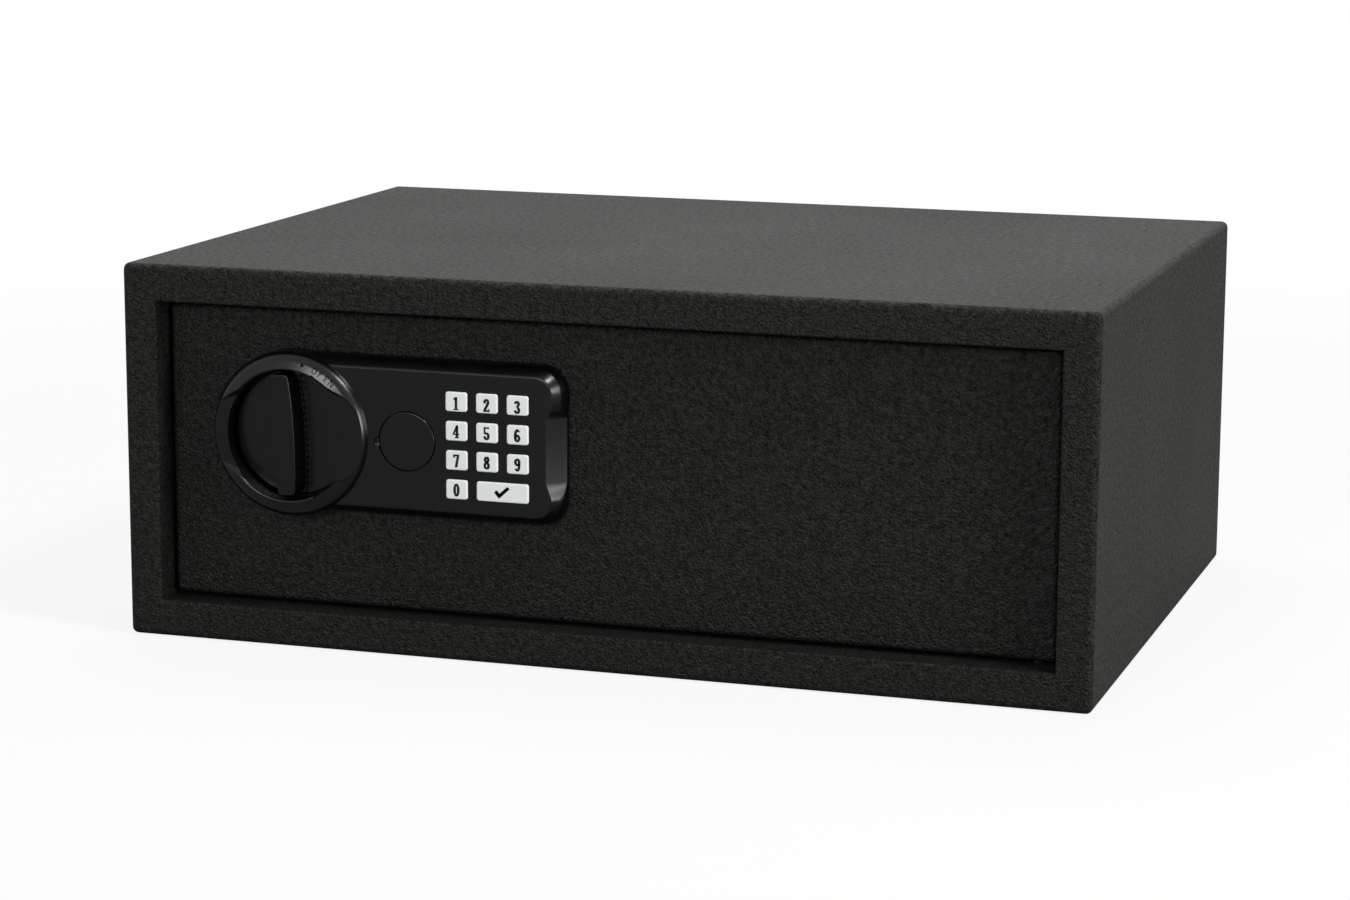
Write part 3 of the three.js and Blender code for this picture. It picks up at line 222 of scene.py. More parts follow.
def tinted(tree, colour, strength):
    """One colour, made lighter and darker by a pattern."""
    return wired(tree, "VectorMath", {0: colour, "Scale": strength}, operation="SCALE").outputs[0]


def relief(tree, height, depth):
    """Fine relief from a pattern's height."""
    return wired(tree, "Bump", {"Height": height, "Distance": depth}).outputs["Normal"]


def powder_coat(name, colour, grain, depth, sheen):
    """Fine-textured powder coat: rounded specks a millimetre apart, a little uneven in tone and gloss."""
    material, tree, shader, place = finish(name)
    specks = wired(tree, "TexVoronoi", {"Vector": place, "Scale": 1 / grain, "Smoothness": 0.6}, feature="SMOOTH_F1")
    dust = noise(tree, place, scale=1 / grain)
    height = wired(tree, "Math", {0: dust, 1: specks.outputs["Distance"]}, operation="SUBTRACT")
    patches = noise(tree, place, scale=9)
    flecks = noise(tree, place, scale=0.4 / grain, detail=3)
    fed(tree, shader, {
        "Normal": relief(tree, height.outputs[0], depth),
        "Base Color": tinted(tree, colour, spread(tree, dust, low=0.2, high=2.6, start=0.3, end=0.75)),
        "Roughness": spread(tree, patches, low=sheen - 0.05, high=sheen + 0.06),
        "Specular IOR Level": spread(tree, flecks, low=0.03, high=0.18, start=0.3, end=0.7),
    })
    return material


def block(low, high):
    """A plain block between two corners."""
    bm = bmesh.new()
    bmesh.ops.create_cube(bm, size=1.0)
    bmesh.ops.scale(bm, vec=Vector(high) - Vector(low), verts=bm.verts)
    bmesh.ops.translate(bm, vec=(Vector(high) + Vector(low)) / 2, verts=bm.verts)
    return bm


def rod(start, end, radius, segments=32):
    """A round bar from one point to another."""
    bm = bmesh.new()
    span = Vector(end) - Vector(start)
    turn = span.to_track_quat("Z", "Y").to_matrix().to_4x4()
    middle = Matrix.Translation((Vector(start) + Vector(end)) / 2)
    bmesh.ops.create_cone(
        bm, cap_ends=True, segments=segments, radius1=radius, radius2=radius, depth=span.length, matrix=middle @ turn,
    )
    return bm


def edges_along(bm, axis):
    """Edges that run along an axis."""
    found = []
    for edge in bm.edges:
        span = edge.verts[1].co - edge.verts[0].co
        if abs(span[axis]) > 0.9 * span.length:
            found.append(edge)
    return found


def rounded(bm, edges, radius, steps=4):
    bmesh.ops.bevel(bm, geom=edges, offset=radius, segments=steps, profile=0.5, affect="EDGES", material=-1)


def halved(bm, place, normal, geom=None, clear=True):
    """Cuts the sheet along a plane, and clears what lies beyond it."""
    bmesh.ops.bisect_plane(
        bm, geom=geom or bm.verts[:] + bm.edges[:] + bm.faces[:], dist=SLACK, plane_co=place, plane_no=normal,
        clear_outer=clear,
    )


def drawn(bm, made_geometry, way):
    """Moves the corners that an operator has just made."""
    corners = [g for g in made_geometry["geom"] if isinstance(g, bmesh.types.BMVert)]
    bmesh.ops.translate(bm, vec=way, verts=corners)


def smoothed(mesh, crease):
    """Shades a mesh smooth, but for edges where its faces turn by more than the crease, in degrees."""
    mesh.shade_smooth()
    mesh.set_sharp_from_angle(angle=math.radians(crease))


def evened(piece):
    """Keeps large flats flat under smooth shading."""
    even = piece.modifiers.new("even_shading", "WEIGHTED_NORMAL")
    even.keep_sharp = True


def made(bm, name, body, slot, material, *nodes, crease=STEEL_CREASE):
    """Turns a finished bmesh into a piece that rides on a body and stands for its nodes."""
    mesh = bpy.data.meshes.new(name)
    bm.to_mesh(mesh)
    bm.free()
    smoothed(mesh, crease)
    piece = bpy.data.objects.new(name, mesh)
    scene.collection.objects.link(piece)
    piece.data.materials.append(material)
    evened(piece)
    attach(piece, body)
    if nodes:
        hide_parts(*nodes)
    return piece


def settled(piece):
    """Applies the piece's modifiers, and welds the seams that they leave."""
    piece.modifiers.remove(piece.modifiers["even_shading"])
    graph = bpy.context.evaluated_depsgraph_get()
    mesh = bpy.data.meshes.new_from_object(piece.evaluated_get(graph))
    piece.modifiers.clear()
    bm = bmesh.new()
    bm.from_mesh(mesh)
    bmesh.ops.remove_doubles(bm, verts=bm.verts, dist=WELD)
    bm.to_mesh(mesh)
    bm.free()
    piece.data = mesh
    evened(piece)


def thickened(piece, wall):
    """Gives a folded sheet its wall, inwards from the outer face."""
    solidify = piece.modifiers.new("wall", "SOLIDIFY")
    solidify.thickness = wall
    solidify.offset = -1
    solidify.use_even_offset = True
    settled(piece)


def worked(piece, tools, way="DIFFERENCE", crease=STEEL_CREASE):
    """Cuts each tool out of the piece, or joins it on."""
    for bm in tools:
        mesh = bpy.data.meshes.new("tool")
        bm.to_mesh(mesh)
        bm.free()
        tool = bpy.data.objects.new("tool", mesh)
        scene.collection.objects.link(tool)
        boolean = piece.modifiers.new("cut", "BOOLEAN")
        boolean.operation = way
        boolean.solver = "EXACT"
        boolean.object = tool
        settled(piece)
        bpy.data.objects.remove(tool)
        bpy.data.meshes.remove(mesh)
    smoothed(piece.data, crease)


def on_front(face):
    return face.normal.y < -0.999 and face.calc_center_median().y < frame_low.y + SLACK


def at_opening(vert):
    """Whether a corner of the front lies on the edge of the door opening."""
    return (
        vert.co.y < frame_low.y + SLACK and abs(vert.co.x) < opening_x + SLACK
        and opening_low - SLACK < vert.co.z < opening_high + SLACK
    )


coat = powder_coat("black_powder_coat", COAT_BLACK, grain=1.0 * MM, depth=0.5 * MM, sheen=0.5)
case_bm = block(frame_low, back_high)
rounded(case_bm, case_bm.edges[:], BEND, BEND_STEPS)
halved(case_bm, (0, shell_high.y, 0), (0, 1, 0))
for place, normal in (
    ((opening_x, 0, 0), (1, 0, 0)), ((-opening_x, 0, 0), (1, 0, 0)),
    ((0, 0, opening_low), (0, 0, 1)), ((0, 0, opening_high), (0, 0, 1)),
):
    front = [f for f in case_bm.faces if on_front(f)]
    front_edges = list({e for f in front for e in f.edges})
    front_verts = list({v for f in front for v in f.verts})
    halved(case_bm, place, normal, front_verts + front_edges + front, clear=False)
cut_out = [f for f in case_bm.faces if on_front(f) and all(at_opening(v) for v in f.verts)]
bmesh.ops.delete(case_bm, geom=cut_out, context="FACES_ONLY")
rim = [e for e in case_bm.edges if e.is_boundary and e.verts[0].co.y < frame_low.y + SLACK]
drawn(case_bm, bmesh.ops.extrude_edge_only(case_bm, edges=rim), (0, UPRIGHT_RETURN, 0))
return_end = frame_low.y + UPRIGHT_RETURN
level_edges = [e for e in edges_along(case_bm, 0) if e.is_boundary and abs(e.verts[0].co.y - return_end) < WELD]
deeper = bmesh.ops.extrude_edge_only(case_bm, edges=level_edges)
drawn(case_bm, deeper, (0, level_return - UPRIGHT_RETURN, 0))
fold = [
    e for e in case_bm.edges
    if len(e.link_faces) == 2 and all(at_opening(v) for v in e.verts)
    and any(abs(f.normal.y) < 0.1 for f in e.link_faces)
]
rounded(case_bm, fold, OPENING_BEND)
bmesh.ops.remove_doubles(case_bm, verts=case_bm.verts[:], dist=WELD)
bmesh.ops.recalc_face_normals(case_bm, faces=case_bm.faces[:])
case_shell = made(case_bm, "case_shell", "case", "powder_coat", coat, "body_shell", "front_frame")
thickened(case_shell, SHEET)
worked(case_shell, [
    rod((side * ANCHOR_REACH, 0, -DRILL_PAST), (side * ANCHOR_REACH, 0, DRILL_PAST), ANCHOR_RADIUS) for side in (-1, 1)
])

# Back panel. A shallow pan pressed from the same 2 mm steel, butt welded to the wrapper and coated with
# it. Two holes take the bolts that hold the safe to a wall.
BACK_ANCHOR_HEIGHT = 82 * MM


def bar(x, z, front, back, radius, segments=32):
    """A round bar that lies front to back."""
    return rod((x, front, z), (x, back, z), radius, segments)


back_bm = block(frame_low, back_high)
rounded(back_bm, back_bm.edges[:], BEND, BEND_STEPS)
halved(back_bm, (0, back_low.y, 0), (0, -1, 0))
back_pan = made(back_bm, "back_pan", "case", "powder_coat", coat, "back_panel")
thickened(back_pan, SHEET)
worked(back_pan, [
    bar(side * ANCHOR_REACH, BACK_ANCHOR_HEIGHT, back_high.y - DRILL_PAST, back_high.y + DRILL_PAST, ANCHOR_RADIUS)
    for side in (-1, 1)
])

# Felt mat. A 3 mm sheet of needled grey felt, cut with rounded corners and laid on the floor of the case
# to keep what lies in it from sliding and scratching.
MAT_CORNER = 3 * MM
MAT_EDGE = 0.8 * MM
FELT_GREY = (0.036, 0.037, 0.04)
FELT_FIBRE_DEPTH = 0.25 * MM
mat_low, mat_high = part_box("floor_mat")


def loop_at(bm, level, axis=1):
    """Edges whose two ends lie at one level along an axis."""
    return [e for e in bm.edges if all(abs(v.co[axis] - level) < WELD for v in e.verts)]


felt, felt_tree, felt_shader, felt_place = finish("needled_felt")
felt_fibre = noise(felt_tree, felt_place, scale=1100, detail=6, warp=1.5)
fed(felt_tree, felt_shader, {
    "Base Color": tinted(
        felt_tree, FELT_GREY, spread(felt_tree, felt_fibre, low=0.6, high=1.5, start=0.3, end=0.7),
    ),
    "Normal": relief(felt_tree, felt_fibre, FELT_FIBRE_DEPTH),
    "Roughness": 1.0, "Specular IOR Level": 0.1, "Sheen Weight": 0.25,
})
mat_bm = block(mat_low, mat_high)
rounded(mat_bm, edges_along(mat_bm, 2), MAT_CORNER, 6)
rounded(mat_bm, loop_at(mat_bm, mat_high.z, 2), MAT_EDGE, 3)
felt_mat = made(mat_bm, "felt_mat", "case", "felt", felt, "floor_mat")

# Door stops and hinge pins. The stops are small angles spot welded inside the case, and the pins are
# headed steel pins pressed into the frame's returns. All of them are powder coated with the case.
PIN_RADIUS = 2.5 * MM
PIN_HEAD = 4.5 * MM
PIN_HEAD_HEIGHT = 2.2 * MM
PIN_TIP_EDGE = 0.9 * MM
PIN_HEAD_EDGE = 0.5 * MM


def finish_nodes(material, *names):
    """Gives CAD nodes their finish."""
    for name in names:
        for material_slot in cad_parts[name].material_slots:
            material_slot.material = material


def turned(profile, middle, way, steps):
    """Spins a closed profile of (radius, place along the axis) about an axis through a middle point."""
    bm = bmesh.new()
    along = Vector([1.0 if i == way else 0.0 for i in range(3)])
    out = Vector([1.0 if i == (way + 1) % 3 else 0.0 for i in range(3)])
    verts = [bm.verts.new(Vector(middle) + out * radius + along * place) for radius, place in profile]
    edges = [bm.edges.new((a, b)) for a, b in zip(verts, verts[1:] + verts[:1])]
    if profile[0][0] == 0 and profile[-1][0] == 0:
        bm.edges.remove(edges.pop())
    bmesh.ops.spin(
        bm, geom=verts + edges, axis=along, cent=middle, steps=steps, angle=2 * math.pi, use_merge=True,
    )
    bmesh.ops.remove_doubles(bm, verts=bm.verts, dist=WELD)
    bmesh.ops.recalc_face_normals(bm, faces=bm.faces)
    return bm


def eased(profile, corner, radius, steps=4):
    """Rounds one convex corner of a profile, given by its number."""
    before, here, after = (Vector(profile[(corner + shift) % len(profile)]) for shift in (-1, 0, 1))
    way_in = (before - here).normalized() * radius
    way_out = (after - here).normalized() * radius
    arc = []
    for step in range(steps + 1):
        turn = step / steps * math.pi / 2
        arc.append(tuple(here + way_in * (1 - math.sin(turn)) + way_out * (1 - math.cos(turn))))
    return profile[:corner] + arc + profile[corner + 1:]


finish_nodes(coat, "upper_door_stop", "lower_door_stop")
for pin_node, inward in (("lower_hinge_pin", 1), ("upper_hinge_pin", -1)):
    pin_low, pin_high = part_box(pin_node)
    half = inward * (pin_high.z - pin_low.z) / 2
    seat = inward * PIN_HEAD_HEIGHT - half
    profile = [(0, -half), (PIN_HEAD, -half), (PIN_HEAD, seat), (PIN_RADIUS, seat), (PIN_RADIUS, half), (0, half)]
    profile = eased(eased(profile, 4, PIN_TIP_EDGE), 1, PIN_HEAD_EDGE)
    pin_bm = turned(profile, (pin_low + pin_high) / 2, 2, steps=40)
    made(pin_bm, pin_node + "_turned", "case", "powder_coat", coat, pin_node)

# Door. A pan folded from 3 mm plate with its flanges turned back, powder coated with the case. Threaded
# studs and posts are welded behind it, and it swings on two zinc-plated blocks at its right-hand edge.
DOOR_SKIN = 3 * MM
DOOR_FLANGE = 2 * MM
DOOR_CORNER = 3 * MM
DOOR_BEND = 2.5 * MM
PAST = 1 * MM
ROOT = 0.5 * MM
SPINDLE_HOLE = 3.3 * MM
BARREL_HOLE = 9.3 * MM
CABLE_HOLE = 5 * MM
CABLE_HOLE_X = -42 * MM
HOUSING_SCREW_HOLE = 2.3 * MM
HOUSING_SCREW_INSET = 4 * MM
HOUSING_SCREW_REACH = 22 * MM
BOLT_HOLE = 7.3 * MM
BOLT_HOLE_DEPTH = 4 * MM
PIN_HOLE = 2.8 * MM
GUIDE_POST = 4.5 * MM
GUIDE_THREAD = 3 * MM
GUIDE_HOLE = 2.3 * MM
GUIDE_HOLE_DEPTH = 4 * MM
COVER_POST = 4 * MM
COVER_HOLE = 1.8 * MM
COVER_HOLE_DEPTH = 9 * MM
BOARD_POST = 3 * MM
BOARD_SPIGOT = 1.2 * MM
BOARD_POST_INSET = 5 * MM


def metal(name, colour, low, high, grain, scratch):
    """Plated or turned metal, a little uneven in gloss and faintly scratched."""
    material, tree, shader, place = finish(name)
    cloud = noise(tree, place, scale=grain, detail=5)
    drawn_out = wired(tree, "Mapping", {"Vector": place, "Scale": (1, 12, 12)})
    lines = noise(tree, drawn_out.outputs["Vector"], scale=220)
    fed(tree, shader, {
        "Base Color": (*colour, 1), "Metallic": 1.0,
        "Roughness": spread(tree, cloud, low, high, start=0.3, end=0.7),
        "Normal": relief(tree, lines, scratch),
    })
    return material


def middle_of(node):
    low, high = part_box(node)
    return (low + high) / 2


zinc = metal("zinc_plate", (0.55, 0.57, 0.6), low=0.26, high=0.42, grain=140, scratch=0.012 * MM)
door_low, door_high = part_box("door_panel")
board_low, board_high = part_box("control_board")
housing_low, housing_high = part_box("keypad_housing")
knob_x, knob_z = middle_of("knob_spindle").xz
lock_x = middle_of("lock_barrel").x
hinge = middle_of("lower_hinge_pin")
skin_back = door_low.y + DOOR_SKIN
screw_x = housing_high.x - HOUSING_SCREW_INSET

door_bm = block(door_low, door_high)
rounded(door_bm, edges_along(door_bm, 1), DOOR_CORNER, 8)
rounded(door_bm, loop_at(door_bm, door_low.y), DOOR_BEND, 6)
door_back = [f for f in door_bm.faces if f.normal.y > 0.99]
bmesh.ops.inset_individual(door_bm, faces=door_back, thickness=DOOR_FLANGE)
pushed = bmesh.ops.extrude_face_region(door_bm, geom=door_back)
bmesh.ops.delete(door_bm, geom=door_back, context="FACES_ONLY")
drawn(door_bm, pushed, (0, skin_back - door_high.y, 0))
bmesh.ops.recalc_face_normals(door_bm, faces=door_bm.faces)
door_pan = made(door_bm, "door_pan", "door", "powder_coat", coat, "door_panel")

door_holes = [
    bar(x, z, door_low.y - PAST, skin_back + PAST, radius) for x, z, radius in (
        (knob_x, knob_z, SPINDLE_HOLE), (lock_x, knob_z, BARREL_HOLE), (CABLE_HOLE_X, knob_z, CABLE_HOLE),
        (screw_x, knob_z - HOUSING_SCREW_REACH, HOUSING_SCREW_HOLE),
        (screw_x, knob_z + HOUSING_SCREW_REACH, HOUSING_SCREW_HOLE),
    )
]
for bolt in (middle_of("lower_bolt"), middle_of("upper_bolt")):
    outer = (door_low.x - PAST, bolt.y, bolt.z)
    inner = (door_low.x + BOLT_HOLE_DEPTH, bolt.y, bolt.z)
    door_holes.append(rod(outer, inner, BOLT_HOLE, 48))
door_holes.append(rod((hinge.x, hinge.y, door_low.z - PAST), (hinge.x, hinge.y, door_high.z + PAST), PIN_HOLE))
worked(door_pan, door_holes)

posts = []
post_holes = []
for number in (1, 2, 3, 4):
    guide = middle_of(f"guide_screw_{number}")
    guide_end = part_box(f"guide_screw_{number}")[0].y + GUIDE_THREAD
    posts.append(bar(guide.x, guide.z, skin_back - ROOT, guide_end, GUIDE_POST))
    post_holes.append(bar(guide.x, guide.z, guide_end - GUIDE_HOLE_DEPTH, guide_end + PAST, GUIDE_HOLE, 24))
    cover = middle_of(f"cover_screw_{number}")
    cover_end = door_high.y
    posts.append(bar(cover.x, cover.z, skin_back - ROOT, cover_end, COVER_POST))
    post_holes.append(bar(cover.x, cover.z, cover_end - COVER_HOLE_DEPTH, cover_end + PAST, COVER_HOLE, 24))
for post_x in (board_low.x + BOARD_POST_INSET, board_high.x - BOARD_POST_INSET):
    post_z = (board_low.z + board_high.z) / 2
    posts.append(bar(post_x, post_z, skin_back - ROOT, board_low.y, BOARD_POST))
    posts.append(bar(post_x, post_z, board_low.y - ROOT, board_high.y + PAST, BOARD_SPIGOT, 24))
worked(door_pan, posts, "UNION")
worked(door_pan, post_holes)
finish_nodes(zinc, "upper_hinge_block", "lower_hinge_block")

# Door's back cover and its screws. A pressed steel sheet, powder coated with the door, closes its back.
# Four zinc-plated pan-head screws with a cross recess hold it to the door's posts.
SCREW_HEAD_HEIGHT = 1.8 * MM
SCREW_HEAD_DOME = 1.1 * MM
SCREW_RADIUS = 1.5 * MM
CROSS_WIDTH = 0.75 * MM
CROSS_LENGTH = 3.4 * MM
CROSS_DEPTH = 1.1 * MM
finish_nodes(coat, "door_back_cover")
for number in (1, 2, 3, 4):
    screw_node = f"cover_screw_{number}"
    screw_low, screw_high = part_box(screw_node)
    middle = (screw_low + screw_high) / 2
    half = (screw_high.y - screw_low.y) / 2
    head = (screw_high.x - screw_low.x) / 2
    seat = half - SCREW_HEAD_HEIGHT
    profile = [(0, -half), (SCREW_RADIUS, -half), (SCREW_RADIUS, seat), (head, seat), (head, half), (0, half)]
    screw_bm = turned(eased(profile, 4, SCREW_HEAD_DOME, 5), middle, 1, steps=40)
    screw = made(screw_bm, screw_node + "_turned", "door", "zinc_steel", zinc, screw_node)
    top = Vector((middle.x, screw_high.y, middle.z))
    cross = []
    for across, up in ((CROSS_LENGTH, CROSS_WIDTH), (CROSS_WIDTH, CROSS_LENGTH)):
        reach = Vector((across, 0, up)) / 2
        cross.append(block(top - reach - Vector((0, CROSS_DEPTH, 0)), top + reach + Vector((0, PAST, 0))))
    worked(screw, cross)

# Keypad housing. One satin black ABS moulding, screwed to the door from behind. A ring boss guards the
# knob, with finger scoops at its sides, and the right-hand end falls away in a wide scalloped bevel.
MOULD_CREASE = 40
MOULD_EDGE = 0.3 * MM
MOULD_EDGE_TURN = 32
PLASTIC_BLACK = (0.0008, 0.0008, 0.0012)
PANEL_RISE = 10.5 * MM
PANEL_HALF = 34.5 * MM
PANEL_LIFT = 0.7 * MM
PANEL_PAST_CAD = 2.0 * MM
PANEL_CORNER = 11.5 * MM
PANEL_FOOT = 0.5 * MM
PANEL_SHOULDER_DEPTH = 5.2 * MM
PANEL_DRAFT = 0.2 * MM
PANEL_CHAMFER = 4.2 * MM
SHOULDER_EDGE = 2.2 * MM
CREASE_EDGE = 0.6 * MM
panel_base = door_low.y
panel_face = panel_base - PANEL_RISE
panel_shoulder = panel_face + PANEL_SHOULDER_DEPTH
panel_end = housing_high.x + PANEL_PAST_CAD
panel_z = knob_z + PANEL_LIFT
ring_face = housing_low.y


def moulded(name, colour, gloss, texture, scale=2600, level=0.4):
    """Moulded plastic: spark-eroded fine texture and slightly uneven gloss."""
    material, tree, shader, place = finish(name)
    fine = noise(tree, place, scale, detail=3)
    cloud = noise(tree, place, scale=40, detail=4)
    fed(tree, shader, {
        "Base Color": (*colour, 1), "Specular IOR Level": level,
        "Normal": relief(tree, fine, texture),
        "Roughness": spread(tree, cloud, low=gloss - 0.05, high=gloss + 0.05),
    })
    return material


def raised_face(bm, level, inset):
    """Insets the front face of a block and brings it forward, so that the rim slopes."""
    faces = [f for f in bm.faces if f.normal.y < -0.99]
    bmesh.ops.inset_region(bm, faces=faces, thickness=inset, use_boundary=True, use_even_offset=True)
    for vert in {v for f in faces for v in f.verts}:
        vert.co.y = level
    bm.normal_update()


plastic = moulded("satin_black_plastic", PLASTIC_BLACK, gloss=0.25, texture=0.004 * MM, level=0.28)
panel_bm = block(
    (knob_x, panel_base - PANEL_FOOT, panel_z - PANEL_HALF), (panel_end, panel_base, panel_z + PANEL_HALF),
)
end_edges = [e for e in edges_along(panel_bm, 1) if e.verts[0].co.x > panel_end - SLACK]
rounded(panel_bm, end_edges, PANEL_CORNER, 16)
raised_face(panel_bm, panel_shoulder, PANEL_DRAFT)
raised_face(panel_bm, panel_face, PANEL_CHAMFER)
rounded(panel_bm, loop_at(panel_bm, panel_shoulder), SHOULDER_EDGE)
rounded(panel_bm, loop_at(panel_bm, panel_face), CREASE_EDGE, 3)
bmesh.ops.recalc_face_normals(panel_bm, faces=panel_bm.faces)
housing = made(
    panel_bm, "keypad_moulding", "door", "black_plastic", plastic, "keypad_housing", crease=MOULD_CREASE,
)

# The housing's scallop, beside the enter key
SCALLOP_BELOW = 14.1 * MM
SCALLOP_ABOVE = 12.9 * MM
SCALLOP_SHIFT = 2.3 * MM
SCALLOP_INWARD = 4 * MM
SCALLOP_OUTWARD = 14 * MM
SCALLOP_HEIGHT = 6 * MM
SCALLOP_SLOPE_ABOVE = 13.6 * MM
SCALLOP_SLOPE_BELOW = 21.6 * MM
scallop = block((-SCALLOP_INWARD, -SCALLOP_HEIGHT, 0), (SCALLOP_OUTWARD, 0, SCALLOP_ABOVE + SCALLOP_BELOW))
for vert in scallop.verts:
    if vert.co.y < -SLACK:
        vert.co.z += SCALLOP_SLOPE_ABOVE if vert.co.z > 0 else -SCALLOP_SLOPE_BELOW
chamfer_turn = math.atan2(PANEL_SHOULDER_DEPTH, PANEL_CHAMFER)
bmesh.ops.rotate(scallop, cent=(0, 0, 0), matrix=Matrix.Rotation(chamfer_turn, 3, "Z"), verts=scallop.verts)
scallop_x = panel_end - PANEL_DRAFT - PANEL_CHAMFER - SCALLOP_SHIFT
bmesh.ops.translate(scallop, vec=(scallop_x, panel_face, knob_z - SCALLOP_BELOW), verts=scallop.verts)
worked(housing, [scallop])

# The housing's ring boss and its two scoops
RING_RADIUS = 36.0 * MM
RING_BORE = 28.4 * MM
RING_BORE_EDGE = 0.8 * MM
RING_FLAT = 29.3 * MM
RING_LIP = 2.4 * MM
RING_SHOULDER = 34.3 * MM
RING_FALL = 1.5 * MM
RING_WALL = 2.5 * MM
RING_OVERLAP = 3 * MM
SCOOP_DEPTH = 2.2 * MM
SCOOP_WALL_LEAN = 1.0 * MM
SCOOP_LEFT = (
    (14, 22.4), (17, 20.6), (19, 18.9), (21, 17.4), (23.5, 16.2), (26, 15.2), (28.2, 14.1), (31, 13.3),
    (34, 12.7), (38, 12.3),
)
SCOOP_RIGHT = (
    (12, 25), (15, 22.8), (17.5, 21.0), (20, 19.6), (23, 18.4), (26, 17.2), (28.5, 15.6), (30.6, 13.6),
    (33, 12.2), (38, 11.6),
)
ring_floor = panel_base - RING_WALL
knob_middle = (knob_x, 0, knob_z)
ring_profile = [
    (SPINDLE_HOLE, panel_base), (SPINDLE_HOLE, ring_floor), (RING_BORE, ring_floor), (RING_BORE, ring_face),
    (RING_FLAT, ring_face), (RING_SHOULDER, ring_face + RING_FALL), (RING_RADIUS, panel_face),
    (RING_RADIUS, panel_base),
]
ring_profile = eased(eased(ring_profile, 5, RING_LIP, 8), 3, RING_BORE_EDGE, 5)
worked(housing, [bar(knob_x, knob_z, ring_face - PAST, panel_base + PAST, RING_RADIUS - RING_OVERLAP, 96)])
worked(housing, [turned(ring_profile, knob_middle, 1, steps=128)], "UNION", MOULD_CREASE)

scoops = []
scoop_floor = ring_face + SCOOP_DEPTH
for side, crease in ((-1, SCOOP_LEFT), (1, SCOOP_RIGHT)):
    scoop = bmesh.new()
    upper = [(knob_x + side * across * MM, knob_z + up * MM) for across, up in crease]
    lower = [(x, 2 * knob_z - z) for x, z in reversed(upper)]
    outline = scoop.faces.new([scoop.verts.new((x, scoop_floor, z)) for x, z in upper + lower])
    lifted = bmesh.ops.extrude_face_region(scoop, geom=[outline])
    for vert in [g for g in lifted["geom"] if isinstance(g, bmesh.types.BMVert)]:
        vert.co.y = ring_face - SCOOP_WALL_LEAN
        vert.co.z += math.copysign(SCOOP_WALL_LEAN + SCOOP_DEPTH, vert.co.z - knob_z)
    bmesh.ops.recalc_face_normals(scoop, faces=scoop.faces)
    scoops.append(scoop)
worked(housing, scoops)

# The housing's cap seat, pry notch, board pocket, key windows and studs
CAP_PLATE = 2.5 * MM
CAP_SEAT = 13.1 * MM
CAP_STEP = 12.1 * MM
PRY_RADIUS = 1.6 * MM
PRY_STRETCH = 1.7
PRY_OUT = 13.5 * MM
PRY_DROP = 1.2 * MM
PRY_PROUD = 0.4 * MM
FACE_WALL = 2 * MM
SEAM = 0.3 * MM
POCKET_CORNER = 3 * MM
KEY_NAMES = [f"key_{digit}" for digit in "1234567890"] + ["key_enter"]
KEY_SHELF = 0.95 * MM
KEY_CORNER = 1.1 * MM
WINDOW_PAST = 3 * MM
STUD = 2 * MM
PEG_INSET = 2.1 * MM
cap_low, cap_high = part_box("lock_cap")
cap_back = cap_low.y + CAP_PLATE
pocket_low, pocket_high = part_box("keypad_board")
wall_back = panel_face + FACE_WALL

pry = bmesh.new()
bmesh.ops.create_uvsphere(pry, u_segments=32, v_segments=16, radius=PRY_RADIUS)
bmesh.ops.scale(pry, vec=(1, 1, PRY_STRETCH), verts=pry.verts)
bmesh.ops.translate(pry, vec=(lock_x - PRY_OUT, panel_face - PRY_PROUD, knob_z - PRY_DROP), verts=pry.verts)
pocket = block(
    (pocket_low.x - SEAM, wall_back, pocket_low.z - SEAM),
    (pocket_high.x + SEAM, panel_base + PAST, pocket_high.z + SEAM),
)
rounded(pocket, edges_along(pocket, 1), POCKET_CORNER)
worked(housing, [
    bar(lock_x, knob_z, ring_face - PAST, cap_back, CAP_SEAT, 96),
    bar(lock_x, knob_z, ring_face - PAST, ring_floor, CAP_STEP, 96),
    bar(lock_x, knob_z, ring_face - PAST, panel_base + PAST, BARREL_HOLE, 64),
    pry, pocket,
])

windows = []
for key_name in KEY_NAMES:
    key_low, key_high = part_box(key_name)
    reach = KEY_SHELF - SEAM
    window = block(
        (key_low.x + reach, panel_face - WINDOW_PAST, key_low.z + reach),
        (key_high.x - reach, wall_back + PAST, key_high.z - reach),
    )
    rounded(window, edges_along(window, 1), KEY_CORNER)
    windows.append(window)
worked(housing, windows)

studs = [
    bar(screw_x, knob_z + side * HOUSING_SCREW_REACH, wall_back, housing_high.y, STUD, 24) for side in (-1, 1)
]
studs += [
    bar(x, z, wall_back - ROOT, pocket_low.y, STUD, 24)
    for x in (pocket_low.x + PEG_INSET, pocket_high.x - PEG_INSET)
    for z in (pocket_low.z + PEG_INSET, pocket_high.z - PEG_INSET)
]
worked(housing, studs, "UNION", MOULD_CREASE)
edge_break = housing.modifiers.new("edge_break", "BEVEL")
edge_break.width = MOULD_EDGE
edge_break.segments = 2
edge_break.limit_method = "ANGLE"
edge_break.angle_limit = math.radians(MOULD_EDGE_TURN)
settled(housing)
smoothed(housing.data, MOULD_CREASE)

# Raised letters. The word OPEN and a small arrow stand a tenth of a millimetre proud of the ring's upper
# right. They are moulded with it, and their tops are worn dull.
LETTER_RISE = 0.12 * MM
LETTER_SIZE = 4.3 * MM
LETTER_NARROW = 0.72
LETTER_ORBIT = 31.8 * MM
LETTER_START = 25
LETTER_STEP = 5.6
ARROW_AT = 14
ARROW_BASE = 1.3 * MM
ARROW_TOP = 1.1 * MM
LETTER_BLACK = (0.002, 0.002, 0.002)
ring_slope = math.atan2(RING_FALL, RING_SHOULDER - RING_FLAT)


